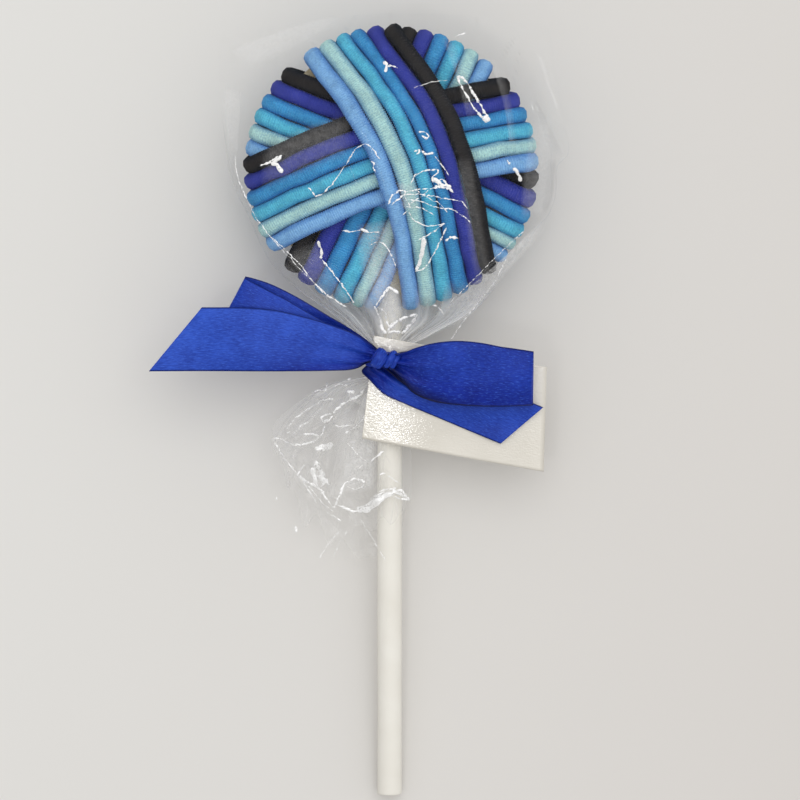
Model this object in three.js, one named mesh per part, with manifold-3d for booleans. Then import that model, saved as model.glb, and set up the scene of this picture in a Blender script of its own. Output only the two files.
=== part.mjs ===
// A gift lollipop made of hair ties. Twenty-four round elastic ties are stretched round a card disc
// on a paper stick. A clear bag covers this head and is gathered round the stick below it, where a
// satin ribbon tied in a bow holds the bag shut and carries a blank card tag.
//
// Millimetres. It is built with the disc's centre as the origin, the stick along -Y and the shown
// side towards +Z. Last, the whole is tilted until the bag's back and the stick's end lie on z = 0.
import * as THREE from 'three';
import { mergeVertices } from 'three/addons/utils/BufferGeometryUtils.js';
import Module from 'manifold-3d';

const wasm = await Module();
wasm.setup();

const GAP = 0.3; // kept between separate pieces

const STICK_RADIUS = 3.05;
const STICK_LENGTH = 152.4;
const STICK_END_Y = -157.5;
const STICK_X = -0.7;

const DISC_RADIUS = 32.5;
const DISC_THICKNESS = 7.6;

const TIE_WIDTH = 3.4;
const TIE_THICKNESS = 3.0;
const TIE_SIDES = 6;
const TIE_SAMPLES = 96; // points worked out along one face of the disc
const TIE_CORNERS = 12; // points of those that the solid keeps
const TIE_COLOURS = {
  periwinkle: '#6996d2',
  mint: '#93c8c5',
  turquoise: '#46aac6',
  azure: '#3a86c6',
  indigo: '#4042a2',
  black: '#343231',
};

// Four bundles cross on each face, lowest first, with one tie of each colour side by side. start and
// end are the angles in degrees where the first tie turns round the rim, and the steps lead from one
// tie to the next. bow is how far the first tie's middle lies to the left of a straight line.
const BUNDLES = [
  { name: 'lowest', start: 49.0, startStep: 6.8, end: 259.6, endStep: -7.3, bow: 0, bowStep: 0 },
  { name: 'lower', start: 171.2, startStep: -6.8, end: -37.4, endStep: 6.8, bow: 0.6, bowStep: 0 },
  { name: 'upper', start: 214.4, startStep: -7.1, end: 2.6, endStep: 6.9, bow: 2.75, bowStep: 0 },
  { name: 'top', start: 125.6, startStep: -7.3, end: -82.2, endStep: 7.1, bow: 5.6, bowStep: -0.25 },
];

const FILM = 0.45; // thickness of the bag's film, with its small creases
const FILM_SLACK = 1.1; // from a tie to the film's outside
const FILM_REACH = 3.6; // the film stays at a tie's height this far past the tie's middle
const FILM_SLOPE = 0.75; // then falls this steeply
const FLANGE = 0.62; // half the thickness where front and back lie together
const NECK_RADIUS = 4.1;
const NECK_TOP_Y = -45.6;
const NECK_BOTTOM_Y = -51.2;
const BAG_POINTS = 28; // round each section of the bag
const SKIRT_DROOP = 0.005; // the skirt's fall, for each mm squared to the left of DROOP_X
const DROOP_X = -7;

// Sections of the bag from its sealed end to the open mouth: the left and right edge, how far the
// middle is pushed towards the sealed end, and how round the section is at its edges.
const BAG_SECTIONS = [
  { left: [-43.0, 31.5], right: [39.2, 34.6], crown: 4.8, round: 40 },
  { left: [-43.2, 29.6], right: [39.6, 32.7], crown: 4.9, round: 40 },
  { left: [-43.0, 25.5], right: [40.2, 28.0], crown: 4.6, round: 40 },
  { left: [-42.6, 19.5], right: [40.9, 20.5], crown: 3.6, round: 40 },
  { left: [-42.0, 12.0], right: [42.0, 12.0], crown: 2.0, round: 40 },
  { left: [-41.2, 3.0], right: [43.6, 2.5], crown: 0.6, round: 40 },
  { left: [-39.0, -6.5], right: [41.6, -6.5], crown: 0, round: 40 },
  { left: [-35.0, -15.5], right: [38.0, -15.5], crown: -0.6, round: 40 },
  { left: [-29.6, -24.0], right: [32.6, -24.0], crown: -1.4, round: 40 },
  { left: [-22.4, -31.0], right: [26.4, -30.5], crown: -2.0, round: 36 },
  { left: [-14.4, -37.0], right: [18.4, -37.0], crown: -1.6, round: 28 },
  { left: [-8.6, -42.0], right: [9.4, -42.2], crown: -0.4, round: 12 },
  {
    left: [STICK_X - NECK_RADIUS, NECK_TOP_Y],
    right: [STICK_X + NECK_RADIUS, NECK_TOP_Y],
    crown: 0,
    round: NECK_RADIUS,
  },
  {
    left: [STICK_X - NECK_RADIUS, NECK_BOTTOM_Y],
    right: [STICK_X + NECK_RADIUS, NECK_BOTTOM_Y],
    crown: 0,
    round: NECK_RADIUS,
  },
  { left: [-17.0, -54.0], right: [4.0, -56.0], crown: 0, round: 8 },
  { left: [-25.8, -60.5], right: [4.6, -62.5], crown: 0, round: 12 },
  { left: [-30.2, -68.5], right: [4.8, -71.0], crown: 0, round: 12 },
  { left: [-29.4, -78.0], right: [4.9, -80.5], crown: 0, round: 12 },
  { left: [-26.4, -87.5], right: [4.6, -89.5], crown: 0, round: 12 },
  { left: [-19.6, -96.5], right: [3.6, -97.5], crown: -1.5, round: 12 },
];

// The bag's back lies flat where it carries the head.
const REST_TILT = THREE.MathUtils.degToRad(5.9);
const REST_CENTRE = new THREE.Vector2(3, -4);
const REST_RADIUS = 11;

const RIBBON_THICKNESS = 0.6;
const RIBBON_STEPS = 11;
const KNOT_CENTRE = new THREE.Vector3(-2.4, -48.3, 8.6);
const KNOT_RADIUS = 2.8;
const KNOT_LENGTH = 10.3;
const BAND_WIDTH = 5.0;
const STEM_RADIUS = 1.5;

const TAG_THICKNESS = 0.35;
const TAG_Z = 5.5;
const TAG_CORNERS = [
  [-4.6, -42.1],
  [39.6, -47.7],
  [37.8, -76.1],
  [-7.6, -67.9],
];
const TAG_HOLE = new THREE.Vector2(-1.4, -48.3);

const WOOD_PULP_WHITE = '#e6e3da';
const KRAFT = '#a59b82';
const RIBBON_BLUE = '#2a46b2';
const TAG_CREAM = '#ebe6d7';
const FILM_CLEAR = '#eef2f2';

// Collects rings of points and the faces between them, for one closed body.
class Skin {
  constructor() {
    this.positions = [];
    this.indices = [];
  }

  addRing(points) {
    const first = this.positions.length / 3;
    for (const point of points) this.positions.push(point.x, point.y, point.z);
    return first;
  }

  // Two triangles between each pair of neighbours on two rings of count points.
  joinRings(a, b, count, turned = false) {
    for (let i = 0; i < count; i += 1) {
      const next = (i + 1) % count;
      this.addFace(a + i, a + next, b + next, turned);
      this.addFace(a + i, b + next, b + i, turned);
    }
  }

  // Closes a flattened ring whose point i faces point count - i.
  closeFlat(first, count, turned) {
    for (let i = 0; i < count / 2; i += 1) {
      const across = (count - i) % count;
      this.addFace(first + i, first + i + 1, first + count - i - 1, turned);
      if (across !== i) this.addFace(first + i, first + count - i - 1, first + across, turned);
    }
  }

  addFace(a, b, c, turned) {
    if (a === b || b === c || a === c) return;
    this.indices.push(a, turned ? c : b, turned ? b : c);
  }

  geometry() {
    const made = new THREE.BufferGeometry();
    made.setAttribute('position', new THREE.Float32BufferAttribute(this.positions, 3));
    made.setIndex(this.indices);
    made.computeVertexNormals();
    return made;
  }
}

function solidOf(geometry) {
  const bare = geometry.clone();
  bare.deleteAttribute('normal');
  bare.deleteAttribute('uv');
  const merged = mergeVertices(bare, 1e-3);
  const mesh = new wasm.Mesh({
    numProp: 3,
    vertProperties: new Float32Array(merged.attributes.position.array),
    triVerts: new Uint32Array(merged.index.array),
  });
  return new wasm.Manifold(mesh);
}

function geometryOf(solid) {
  const mesh = solid.getMesh();
  const made = new THREE.BufferGeometry();
  made.setAttribute('position', new THREE.BufferAttribute(mesh.vertProperties, 3));
  made.setIndex(new THREE.BufferAttribute(mesh.triVerts, 1));
  made.computeVertexNormals();
  return made;
}

// ---- hair ties

const EDGE_RADIUS = DISC_THICKNESS / 2; // the disc's round edge
const EDGE_CIRCLE = DISC_RADIUS - EDGE_RADIUS; // the circle that it is centred on
const WRAP = EDGE_RADIUS + GAP + TIE_THICKNESS / 2; // from there to a tie's middle
const RIM = EDGE_CIRCLE + WRAP;

function rimPoint(degrees) {
  const angle = THREE.MathUtils.degToRad(degrees);
  return new THREE.Vector2(RIM * Math.cos(angle), RIM * Math.sin(angle));
}

// A tie's plan on one face: a shallow arc between its two ends on the rim.
function tiePlan(bundle, index) {
  const start = rimPoint(bundle.start + index * bundle.startStep);
  const end = rimPoint(bundle.end + index * bundle.endStep);
  const along = end.clone().sub(start).normalize();
  const bow = bundle.bow + index * bundle.bowStep;
  const control = start.clone().lerp(end, 0.5);
  control.addScaledVector(new THREE.Vector2(-along.y, along.x), 2 * bow);
  return new THREE.QuadraticBezierCurve(start, control, end);
}

// The least height of a tie's middle over a plan point, clear of the disc and the ties beneath.
function restHeight(x, y, beneath) {
  const past = Math.max(0, Math.hypot(x, y) - EDGE_CIRCLE);
  let height = Math.sqrt(Math.max(0, WRAP ** 2 - past ** 2));
  for (const { centre } of beneath) {
    const apart = Math.hypot(x - centre.x, y - centre.y) / (TIE_WIDTH + GAP);
    if (apart >= 1) continue;
    height = Math.max(height, centre.z + (TIE_THICKNESS + GAP) * Math.sqrt(1 - apart ** 2));
  }
  return height;
}

// Lifts the points between the ones that a taut line over them would touch on to that line.
function pullTaut(stations) {
  const touched = [];
  const turn = (a, b, c) =>
    (b.travel - a.travel) * (c.centre.z - a.centre.z) - (b.centre.z - a.centre.z) * (c.travel - a.travel);
  for (const station of stations) {
    while (touched.length > 1 && turn(touched.at(-2), touched.at(-1), station) >= 0) touched.pop();
    touched.push(station);
  }
  let span = 0;
  for (const station of stations) {
    while (touched[span + 1].travel < station.travel) span += 1;
    const from = touched[span];
    const to = touched[span + 1];
    const share = (station.travel - from.travel) / (to.travel - from.travel);
    station.centre.z = THREE.MathUtils.lerp(from.centre.z, to.centre.z, share);
  }
}

// The stations of a tie's middle on the front face, from rim to rim.
function tieStations(bundle, index, beneath) {
  const plan = tiePlan(bundle, index);
  const stations = [];
  let travel = 0;
  for (let i = 0; i <= TIE_SAMPLES; i += 1) {
    const share = (1 - Math.cos((Math.PI * i) / TIE_SAMPLES)) / 2;
    const point = plan.getPoint(share);
    const along = plan.getTangent(share);
    const onRim = i === 0 || i === TIE_SAMPLES;
    const height = onRim ? 0 : restHeight(point.x, point.y, beneath);
    const centre = new THREE.Vector3(point.x, point.y, height);
    if (i > 0) travel += Math.hypot(point.x - stations[i - 1].centre.x, point.y - stations[i - 1].centre.y);
    stations.push({ centre, across: new THREE.Vector3(-along.y, along.x, 0), travel });
  }
  pullTaut(stations);
  return stations;
}

// Drops the stations that matter least to the path until count are left.
function thinStations(stations, count) {
  const kept = [...stations];
  const corner = new THREE.Triangle();
  while (kept.length > count) {
    let least = 1;
    let leastArea = Infinity;
    for (let i = 1; i < kept.length - 1; i += 1) {
      corner.set(kept[i - 1].centre, kept[i].centre, kept[i + 1].centre);
      if (corner.getArea() < leastArea) {
        leastArea = corner.getArea();
        least = i;
      }
    }
    kept.splice(least, 1);
  }
  return kept;
}

// The whole loop: over the front face, round the rim and back the same way behind the disc.
function tieGeometry(stations) {
  const front = thinStations(stations, TIE_CORNERS);
  const back = front.slice(1, -1).reverse();
  const loop = [
    ...front,
    ...back.map(({ centre, across }) => ({
      centre: new THREE.Vector3(centre.x, centre.y, -centre.z),
      across,
    })),
  ];
  const skin = new Skin();
  const rings = loop.map(({ centre, across }, i) => {
    const before = loop.at(i - 1).centre;
    const after = loop[(i + 1) % loop.length].centre;
    const into = centre.clone().sub(before).normalize();
    const onward = after.clone().sub(centre).normalize().add(into).normalize();
    const out = new THREE.Vector3().crossVectors(onward, across).normalize();
    const ring = [];
    for (let side = 0; side < TIE_SIDES; side += 1) {
      const angle = (2 * Math.PI * side) / TIE_SIDES;
      const point = centre.clone();
      point.addScaledVector(across, (Math.cos(angle) * TIE_WIDTH) / 2);
      point.addScaledVector(out, (Math.sin(angle) * TIE_THICKNESS) / 2);
      ring.push(point);
    }
    return skin.addRing(ring);
  });
  rings.forEach((ring, i) => skin.joinRings(ring, rings[(i + 1) % rings.length], TIE_SIDES));
  return skin.geometry();
}

const tieCentres = []; // every station on the front face, lowest bundle first
const tieGeometries = new Map();
for (const bundle of BUNDLES) {
  const beneath = [...tieCentres];
  Object.keys(TIE_COLOURS).forEach((colour, index) => {
    const stations = tieStations(bundle, index, beneath);
    tieCentres.push(...stations);
    tieGeometries.set(`tie_${bundle.name}_${colour}`, { geometry: tieGeometry(stations), colour });
  });
}

// ---- stick and disc

function stickGeometry() {
  const stick = new THREE.CylinderGeometry(STICK_RADIUS, STICK_RADIUS, STICK_LENGTH, 24);
  return stick.translate(STICK_X, STICK_END_Y + STICK_LENGTH / 2, 0);
}

// A thick round card with a rounded edge, bored from its lower edge for the stick.
function discGeometry() {
  const edgeSteps = 3;
  const profile = [new THREE.Vector2(0, -EDGE_RADIUS)];
  for (let i = 0; i <= edgeSteps; i += 1) {
    const angle = -Math.PI / 2 + (Math.PI * i) / edgeSteps;
    const reach = EDGE_CIRCLE + EDGE_RADIUS * Math.cos(angle);
    profile.push(new THREE.Vector2(reach, EDGE_RADIUS * Math.sin(angle)));
  }
  profile.push(new THREE.Vector2(0, EDGE_RADIUS));
  const disc = new THREE.LatheGeometry(profile, 30).rotateX(Math.PI / 2);
  const bore = new THREE.CylinderGeometry(STICK_RADIUS + GAP, STICK_RADIUS + GAP, DISC_RADIUS, 24);
  const boreEndY = STICK_END_Y + STICK_LENGTH + GAP;
  bore.translate(STICK_X, boreEndY - DISC_RADIUS / 2, 0);
  return geometryOf(solidOf(disc).subtract(solidOf(bore)));
}

// ---- bag

// Height of the film's outside over the disc's middle plane: a tent over the ties and the stick.
function filmHeight(x, y) {
  let height = FLANGE;
  for (const { centre } of tieCentres) {
    const past = Math.max(0, Math.hypot(x - centre.x, y - centre.y) - FILM_REACH);
    height = Math.max(height, centre.z + TIE_THICKNESS / 2 + FILM_SLACK - FILM_SLOPE * past);
  }
  const below = Math.max(0, y + EDGE_CIRCLE);
  const past = Math.max(0, Math.hypot(x - STICK_X, below) - FILM_REACH);
  return Math.max(height, STICK_RADIUS + FILM_SLACK - FILM_SLOPE * past);
}

const FLOOR = STICK_END_Y * Math.sin(REST_TILT) - STICK_RADIUS * Math.cos(REST_TILT);

// Depth of the surface that the lollipop lies on, under the disc's middle plane.
function floorDepth(y) {
  return (y * Math.sin(REST_TILT) - FLOOR) / Math.cos(REST_TILT);
}

// As filmHeight for the back, which is flattened where the head rests on it.
function backDepth(x, y) {
  const past = Math.max(0, Math.hypot(x - REST_CENTRE.x, y - REST_CENTRE.y) - REST_RADIUS);
  const resting = floorDepth(y) - FILM_SLOPE * past;
  return Math.min(floorDepth(y), Math.max(filmHeight(x, y), resting));
}

// One section of the bag, from its left edge over the front to the right edge and back behind.
function bagSection({ left, right, crown, round }, inset) {
  const points = [];
  for (let i = 0; i < BAG_POINTS; i += 1) {
    const angle = (2 * Math.PI * i) / BAG_POINTS;
    const share = (1 - Math.cos(angle)) / 2;
    const x = THREE.MathUtils.lerp(left[0] + inset, right[0] - inset, share);
    const y = THREE.MathUtils.lerp(left[1], right[1], share) + crown * 4 * share * (1 - share);
    const cover = Math.sin(angle) > 0 ? filmHeight(x, y) : backDepth(x, y);
    const onEdge = i === 0 || i === BAG_POINTS / 2;
    const reach = onEdge ? 0 : Math.min(cover, round * Math.abs(Math.sin(angle))) - inset;
    const droop = y > NECK_BOTTOM_Y ? 0 : SKIRT_DROOP * Math.min(0, x - DROOP_X) ** 2;
    points.push(new THREE.Vector3(x, y, Math.sign(Math.sin(angle)) * reach - droop));
  }
  return points;
}

function bagGeometry() {
  const skin = new Skin();
  const inside = BAG_SECTIONS.map((section, i) => {
    if (i > 0) return section;
    const lowered = ([x, y]) => [x, y - FILM];
    return { ...section, left: lowered(section.left), right: lowered(section.right) };
  });
  const outer = BAG_SECTIONS.map((section) => skin.addRing(bagSection(section, 0)));
  const inner = inside.map((section) => skin.addRing(bagSection(section, FILM)));
  for (let i = 0; i + 1 < outer.length; i += 1) {
    skin.joinRings(outer[i], outer[i + 1], BAG_POINTS, true);
    skin.joinRings(inner[i], inner[i + 1], BAG_POINTS);
  }
  skin.joinRings(inner.at(-1), outer.at(-1), BAG_POINTS);
  skin.closeFlat(outer[0], BAG_POINTS, false);
  skin.closeFlat(inner[0], BAG_POINTS, true);
  return skin.geometry();
}

// ---- ribbon

// A strip of ribbon between two edge curves, each given by a few points.
function stripGeometry(upper, lower) {
  const upperCurve = new THREE.CatmullRomCurve3(upper.map((p) => new THREE.Vector3(...p)));
  const lowerCurve = new THREE.CatmullRomCurve3(lower.map((p) => new THREE.Vector3(...p)));
  const skin = new Skin();
  const rings = [];
  for (let i = 0; i <= RIBBON_STEPS; i += 1) {
    const share = i / RIBBON_STEPS;
    const top = upperCurve.getPoint(share);
    const bottom = lowerCurve.getPoint(share);
    const along = upperCurve.getTangent(share).add(lowerCurve.getTangent(share));
    const normal = along.cross(bottom.clone().sub(top)).setLength(RIBBON_THICKNESS / 2);
    rings.push(
      skin.addRing([
        top.clone().add(normal),
        top.clone().sub(normal),
        bottom.clone().sub(normal),
        bottom.clone().add(normal),
      ]),
    );
  }
  for (let i = 0; i < RIBBON_STEPS; i += 1) skin.joinRings(rings[i], rings[i + 1], 4);
  const first = rings[0];
  const last = rings.at(-1);
  skin.addFace(first, first + 2, first + 1, false);
  skin.addFace(first, first + 3, first + 2, false);
  skin.addFace(last, last + 1, last + 2, false);
  skin.addFace(last, last + 2, last + 3, false);
  return skin.geometry();
}

// Upper and lower edges, from the knot outwards and, on a loop, round its fold and back.
const RIBBON_STRIPS = {
  leftTail: {
    upper: [[-2, -46.8, 9.4], [-11, -42.2, 10.4], [-20, -38.4, 11], [-30, -35.4, 10.6], [-47.6, -35, 8]],
    lower: [[-3, -50.2, 9.4], [-15, -50.6, 10.8], [-28, -50.9, 11.4], [-44, -51, 10.4], [-60.9, -51, 7]],
  },
  leftLoop: {
    upper: [
      [-2, -46.2, 8.8], [-9, -39.8, 9], [-20, -33.4, 9.2], [-34, -27.6, 8.6],
      [-37.6, -27.3, 7.6], [-34, -27.8, 6.8], [-20, -33.8, 6.4], [-9, -40.2, 6.6], [-2, -46.4, 7.6],
    ],
    lower: [
      [-3, -49.8, 8.8], [-13, -47.6, 9.2], [-26, -45.2, 9.6], [-41, -41.6, 8.8],
      [-44.4, -41.4, 7.8], [-41, -41.8, 7], [-26, -45.4, 6.8], [-13, -47.8, 6.8], [-3, -50, 7.6],
    ],
  },
  rightLoop: {
    upper: [
      [-2, -46.8, 9.2], [7, -45.4, 11.6], [18, -43.8, 13], [32, -45.6, 12.6],
      [35.6, -46.4, 11], [32, -45.6, 9.6], [18, -44.4, 8.8], [7, -46, 8.4], [-2, -47, 8.2],
    ],
    lower: [
      [-3, -50, 9.2], [5, -55.4, 11.8], [16, -59.4, 13.2], [32, -59.8, 12.8],
      [35.4, -59.8, 11.2], [32, -59.6, 9.8], [16, -58.8, 9], [5, -54.8, 8.6], [-3, -50, 8.2],
    ],
  },
  rightTail: {
    upper: [[-1, -46.6, 7.6], [8, -49.2, 7.4], [18, -51.8, 7.6], [28, -55.6, 7.2], [37.8, -60, 6.8]],
    lower: [[-3.6, -50.4, 7.6], [2, -58, 7], [11.4, -62.8, 6.8], [19, -66, 6.6], [26.9, -69.2, 6.6]],
  },
};

function ribbonGeometry() {
  const knot = new THREE.CapsuleGeometry(KNOT_RADIUS, KNOT_LENGTH - 2 * KNOT_RADIUS, 3, 10);
  knot.rotateZ(Math.PI / 2);
  knot.scale(1, 1, 0.86);
  knot.translate(KNOT_CENTRE.x, KNOT_CENTRE.y, KNOT_CENTRE.z);
  const inner = NECK_RADIUS + GAP + 0.1;
  const outer = inner + RIBBON_THICKNESS;
  const section = [
    [inner, -BAND_WIDTH / 2],
    [outer, -BAND_WIDTH / 2],
    [outer, BAND_WIDTH / 2],
    [inner, BAND_WIDTH / 2],
    [inner, -BAND_WIDTH / 2],
  ];
  const band = new THREE.LatheGeometry(section.map(([x, y]) => new THREE.Vector2(x, y)), 22);
  band.translate(STICK_X, KNOT_CENTRE.y, 0);
  const stemLength = KNOT_CENTRE.z - inner - 0.2;
  const stem = new THREE.CylinderGeometry(STEM_RADIUS, STEM_RADIUS, stemLength, 12).rotateX(Math.PI / 2);
  stem.translate(TAG_HOLE.x, TAG_HOLE.y, KNOT_CENTRE.z - stemLength / 2);
  let bow = solidOf(knot).add(solidOf(band)).add(solidOf(stem));
  for (const { upper, lower } of Object.values(RIBBON_STRIPS)) {
    bow = bow.add(solidOf(stripGeometry(upper, lower)));
  }
  return geometryOf(bow);
}

// ---- tag

function tagGeometry() {
  const outline = new THREE.Shape(TAG_CORNERS.map(([x, y]) => new THREE.Vector2(x, y)));
  const hole = new THREE.Path().absarc(TAG_HOLE.x, TAG_HOLE.y, STEM_RADIUS + GAP + 0.1, 0, 2 * Math.PI, false);
  outline.holes.push(hole);
  const options = { depth: TAG_THICKNESS, bevelEnabled: false, curveSegments: 12 };
  return new THREE.ExtrudeGeometry(outline, options).translate(0, 0, TAG_Z);
}

// ---- assembly

const lollipop = new THREE.Group();

function addPiece(name, geometry, colour, roughness, extras = {}) {
  const material = new THREE.MeshStandardMaterial({ color: colour, roughness, metalness: 0, ...extras });
  const mesh = new THREE.Mesh(geometry, material);
  mesh.name = name;
  lollipop.add(mesh);
}

addPiece('stick', stickGeometry(), WOOD_PULP_WHITE, 0.6);
addPiece('card_disc', discGeometry(), KRAFT, 0.9);
for (const [name, { geometry, colour }] of tieGeometries) {
  addPiece(name, geometry, TIE_COLOURS[colour], 0.85);
}
addPiece('bag', bagGeometry(), FILM_CLEAR, 0.1, { transparent: true, opacity: 0.25 });
addPiece('ribbon_bow', ribbonGeometry(), RIBBON_BLUE, 0.35);
addPiece('tag', tagGeometry(), TAG_CREAM, 0.4);

lollipop.rotation.x = REST_TILT;
lollipop.updateMatrixWorld(true);
const box = new THREE.Box3().setFromObject(lollipop, true);
const middle = box.getCenter(new THREE.Vector3());
lollipop.position.set(-middle.x, -middle.y, -box.min.z);

export default lollipop;
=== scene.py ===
"""A gift lollipop: 24 elastic hair ties stretched round a card disc on a paper stick, in a clear bag that
is gathered at the neck with a satin bow and a blank pearlescent tag.

Shapes are worked out in millimetres in the lollipop's own axes: the disc's centre is the origin, the
stick points along -Y and +Z is the shown side. to_world() tilts them as the lollipop lies on its
surface and turns them into metres."""
import math
import bpy
import numpy as np
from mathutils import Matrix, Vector


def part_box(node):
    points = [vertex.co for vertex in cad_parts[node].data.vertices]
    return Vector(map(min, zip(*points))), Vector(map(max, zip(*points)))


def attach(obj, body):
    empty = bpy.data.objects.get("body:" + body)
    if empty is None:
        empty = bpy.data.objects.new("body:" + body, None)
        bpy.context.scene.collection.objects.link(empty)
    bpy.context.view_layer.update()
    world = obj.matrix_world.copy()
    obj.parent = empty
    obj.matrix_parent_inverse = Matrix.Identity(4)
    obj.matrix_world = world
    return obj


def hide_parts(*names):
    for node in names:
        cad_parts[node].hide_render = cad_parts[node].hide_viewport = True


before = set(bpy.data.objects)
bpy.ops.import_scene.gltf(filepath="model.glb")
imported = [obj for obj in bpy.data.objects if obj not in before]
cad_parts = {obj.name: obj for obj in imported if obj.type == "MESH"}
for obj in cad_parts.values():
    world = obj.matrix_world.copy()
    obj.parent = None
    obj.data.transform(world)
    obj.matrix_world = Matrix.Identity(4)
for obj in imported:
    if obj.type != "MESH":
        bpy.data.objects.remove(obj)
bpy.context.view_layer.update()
rng = np.random.default_rng(24)

# ---- driving dimensions, in millimetres

REST_TILT = math.radians(5.9)

STICK_RADIUS = 3.05
STICK_LENGTH = 152.4
STICK_END_Y = -157.5
STICK_X = -0.7

DISC_RADIUS = 32.5
EDGE_RADIUS = 3.8
EDGE_CIRCLE = DISC_RADIUS - EDGE_RADIUS

# A tie's middle line keeps WRAP from the circle that the disc's round edge runs on. Over a tie beneath, it
# is lifted by TIE_RISE, less to the side and not at all beyond TIE_STEP.
WRAP = 5.6
RIM = EDGE_CIRCLE + WRAP
TIE_STEP = 3.7
TIE_RISE = 3.3
TIE_HALF_WIDTH = 2.08
LEAST_HALF_WIDTH = 1.35
MOST_HALF_WIDTH = TIE_HALF_WIDTH + 0.45
TIE_HALF_THICKNESS = 1.66
TIE_SQUARENESS = 0.9
TIE_SAMPLES = 150
TIE_SIDES = 10
RIB_PITCH = 0.6
RIB_DEPTH = 0.075
RIB_SLANT = 1.5
RINGS_A_RIB = 3

RIBBON_WIDTH = 16.0
RIBBON_THICKNESS = 0.22
TAG_THICKNESS = 0.35

# The wound head is a little wider than it is high, and sits a little low on the disc.
HEAD_STRETCH = np.array([1.018, 0.985])
HEAD_SHIFT = np.array([-0.25, -0.5])

# ---- frame and meshes

# FLOOR is the height of the surface in the tilted axes, where the stick's end touches it, and SHIFT moves
# the tilted stick onto the CAD's.
SIN_TILT, COS_TILT = math.sin(REST_TILT), math.cos(REST_TILT)
stick_low, stick_high = (np.array(corner) * 1000 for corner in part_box("stick"))
FLOOR = STICK_END_Y * SIN_TILT - STICK_RADIUS * COS_TILT
SHIFT = np.array(
    [
        (stick_low[0] + stick_high[0]) / 2 - STICK_X,
        stick_low[1] - STICK_END_Y * COS_TILT + STICK_RADIUS * SIN_TILT,
        stick_low[2] - FLOOR,
    ]
)


def to_world(points):
    """Lollipop millimetres to metres in the frame."""
    x, y, z = np.asarray(points, float).reshape(-1, 3).T
    turned = np.stack([x, y * COS_TILT - z * SIN_TILT, y * SIN_TILT + z * COS_TILT], axis=1)
    return (turned + SHIFT) / 1000


# The camera's height over the surface, the height that the picture's scale holds at, and the place that
# it looks down on.
CAMERA_HEIGHT = 1500.0
FOCUS_HEIGHT = 8.0
VIEW_MIDDLE = (1.9, -58.2, 0.0)


def seen(points):
    """Lollipop places of points that the camera sees at x and y, each with its height over the disc's
    middle plane."""
    x, y, z = np.asarray(points, float).reshape(-1, 3).T
    middle_x, middle_y, _ = VIEW_MIDDLE
    placed_y = y
    for _ in range(3):
        height = placed_y * SIN_TILT + z * COS_TILT + SHIFT[2]
        scale = (CAMERA_HEIGHT - height) / (CAMERA_HEIGHT - FOCUS_HEIGHT)
        placed_y = middle_y + ((y - middle_y) * scale + z * SIN_TILT) / COS_TILT
    placed_x = middle_x + (x - middle_x) * scale
    return np.stack([placed_x, placed_y, z], axis=1)


def grid_faces(rows, columns, loop_rows=False, loop_columns=False):
    """Quads between the points of a grid, row after row, closed on itself where asked."""
    row = np.arange(rows if loop_rows else rows - 1)
    column = np.arange(columns if loop_columns else columns - 1)
    r, c = np.meshgrid(row, column, indexing="ij")
    r, c = r.ravel(), c.ravel()
    next_r, next_c = (r + 1) % rows, (c + 1) % columns
    corners = [r * columns + c, r * columns + next_c, next_r * columns + next_c, next_r * columns + c]
    return np.stack(corners, axis=1)


def joined(parts):
    """One list of points and one of faces from several (points, faces) pairs."""
    points, faces, first = [], [], 0
    for part_points, part_faces in parts:
        points.append(np.reshape(part_points, (-1, 3)))
        faces.append(part_faces + first)
        first += len(points[-1])
    return np.vstack(points), np.vstack(faces)


def link(thing):
    """Puts an object into the scene."""
    bpy.context.scene.collection.objects.link(thing)


def add_piece(name, points, faces, material, node, numbers=None):
    """A smooth mesh object in a CAD node's place, with a float for each point under each name in numbers."""
    mesh = bpy.data.meshes.new(name)
    mesh.from_pydata(to_world(points).tolist(), [], np.asarray(faces).tolist())
    for key, values in (numbers or {}).items():
        layer = mesh.attributes.new(key, "FLOAT", "POINT")
        layer.data.foreach_set("value", np.asarray(values, np.float32).ravel())
    mesh.materials.append(material)
    mesh.shade_smooth()
    piece = bpy.data.objects.new(name, mesh)
    link(piece)
    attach(piece, "root")
    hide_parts(node)
    return piece


def thicken(piece, millimetres):
    """Gives a sheet its thickness, half to each side."""
    modifier = piece.modifiers.new("thickness", "SOLIDIFY")
    modifier.thickness = millimetres / 1000
    modifier.offset = 0


# ---- curves and smooth numbers


def unit(vectors):
    """Each vector at length 1."""
    return vectors / np.maximum(np.linalg.norm(vectors, axis=-1, keepdims=True), 1e-9)


def signed_power(values, power):
    """A power of each size, with its sign kept."""
    return np.sign(values) * np.abs(values) ** power


def travelled(points):
    """The way along a polyline to each of its points."""
    return np.concatenate([[0], np.cumsum(np.linalg.norm(np.diff(points, axis=0), axis=1))])


def resample(points, count):
    """count points evenly spaced along a polyline."""
    travel = travelled(points)
    even = np.linspace(0, travel[-1], count)
    return np.stack([np.interp(even, travel, axis) for axis in points.T], axis=1)


SAMPLES_A_KNOT = 40


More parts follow.
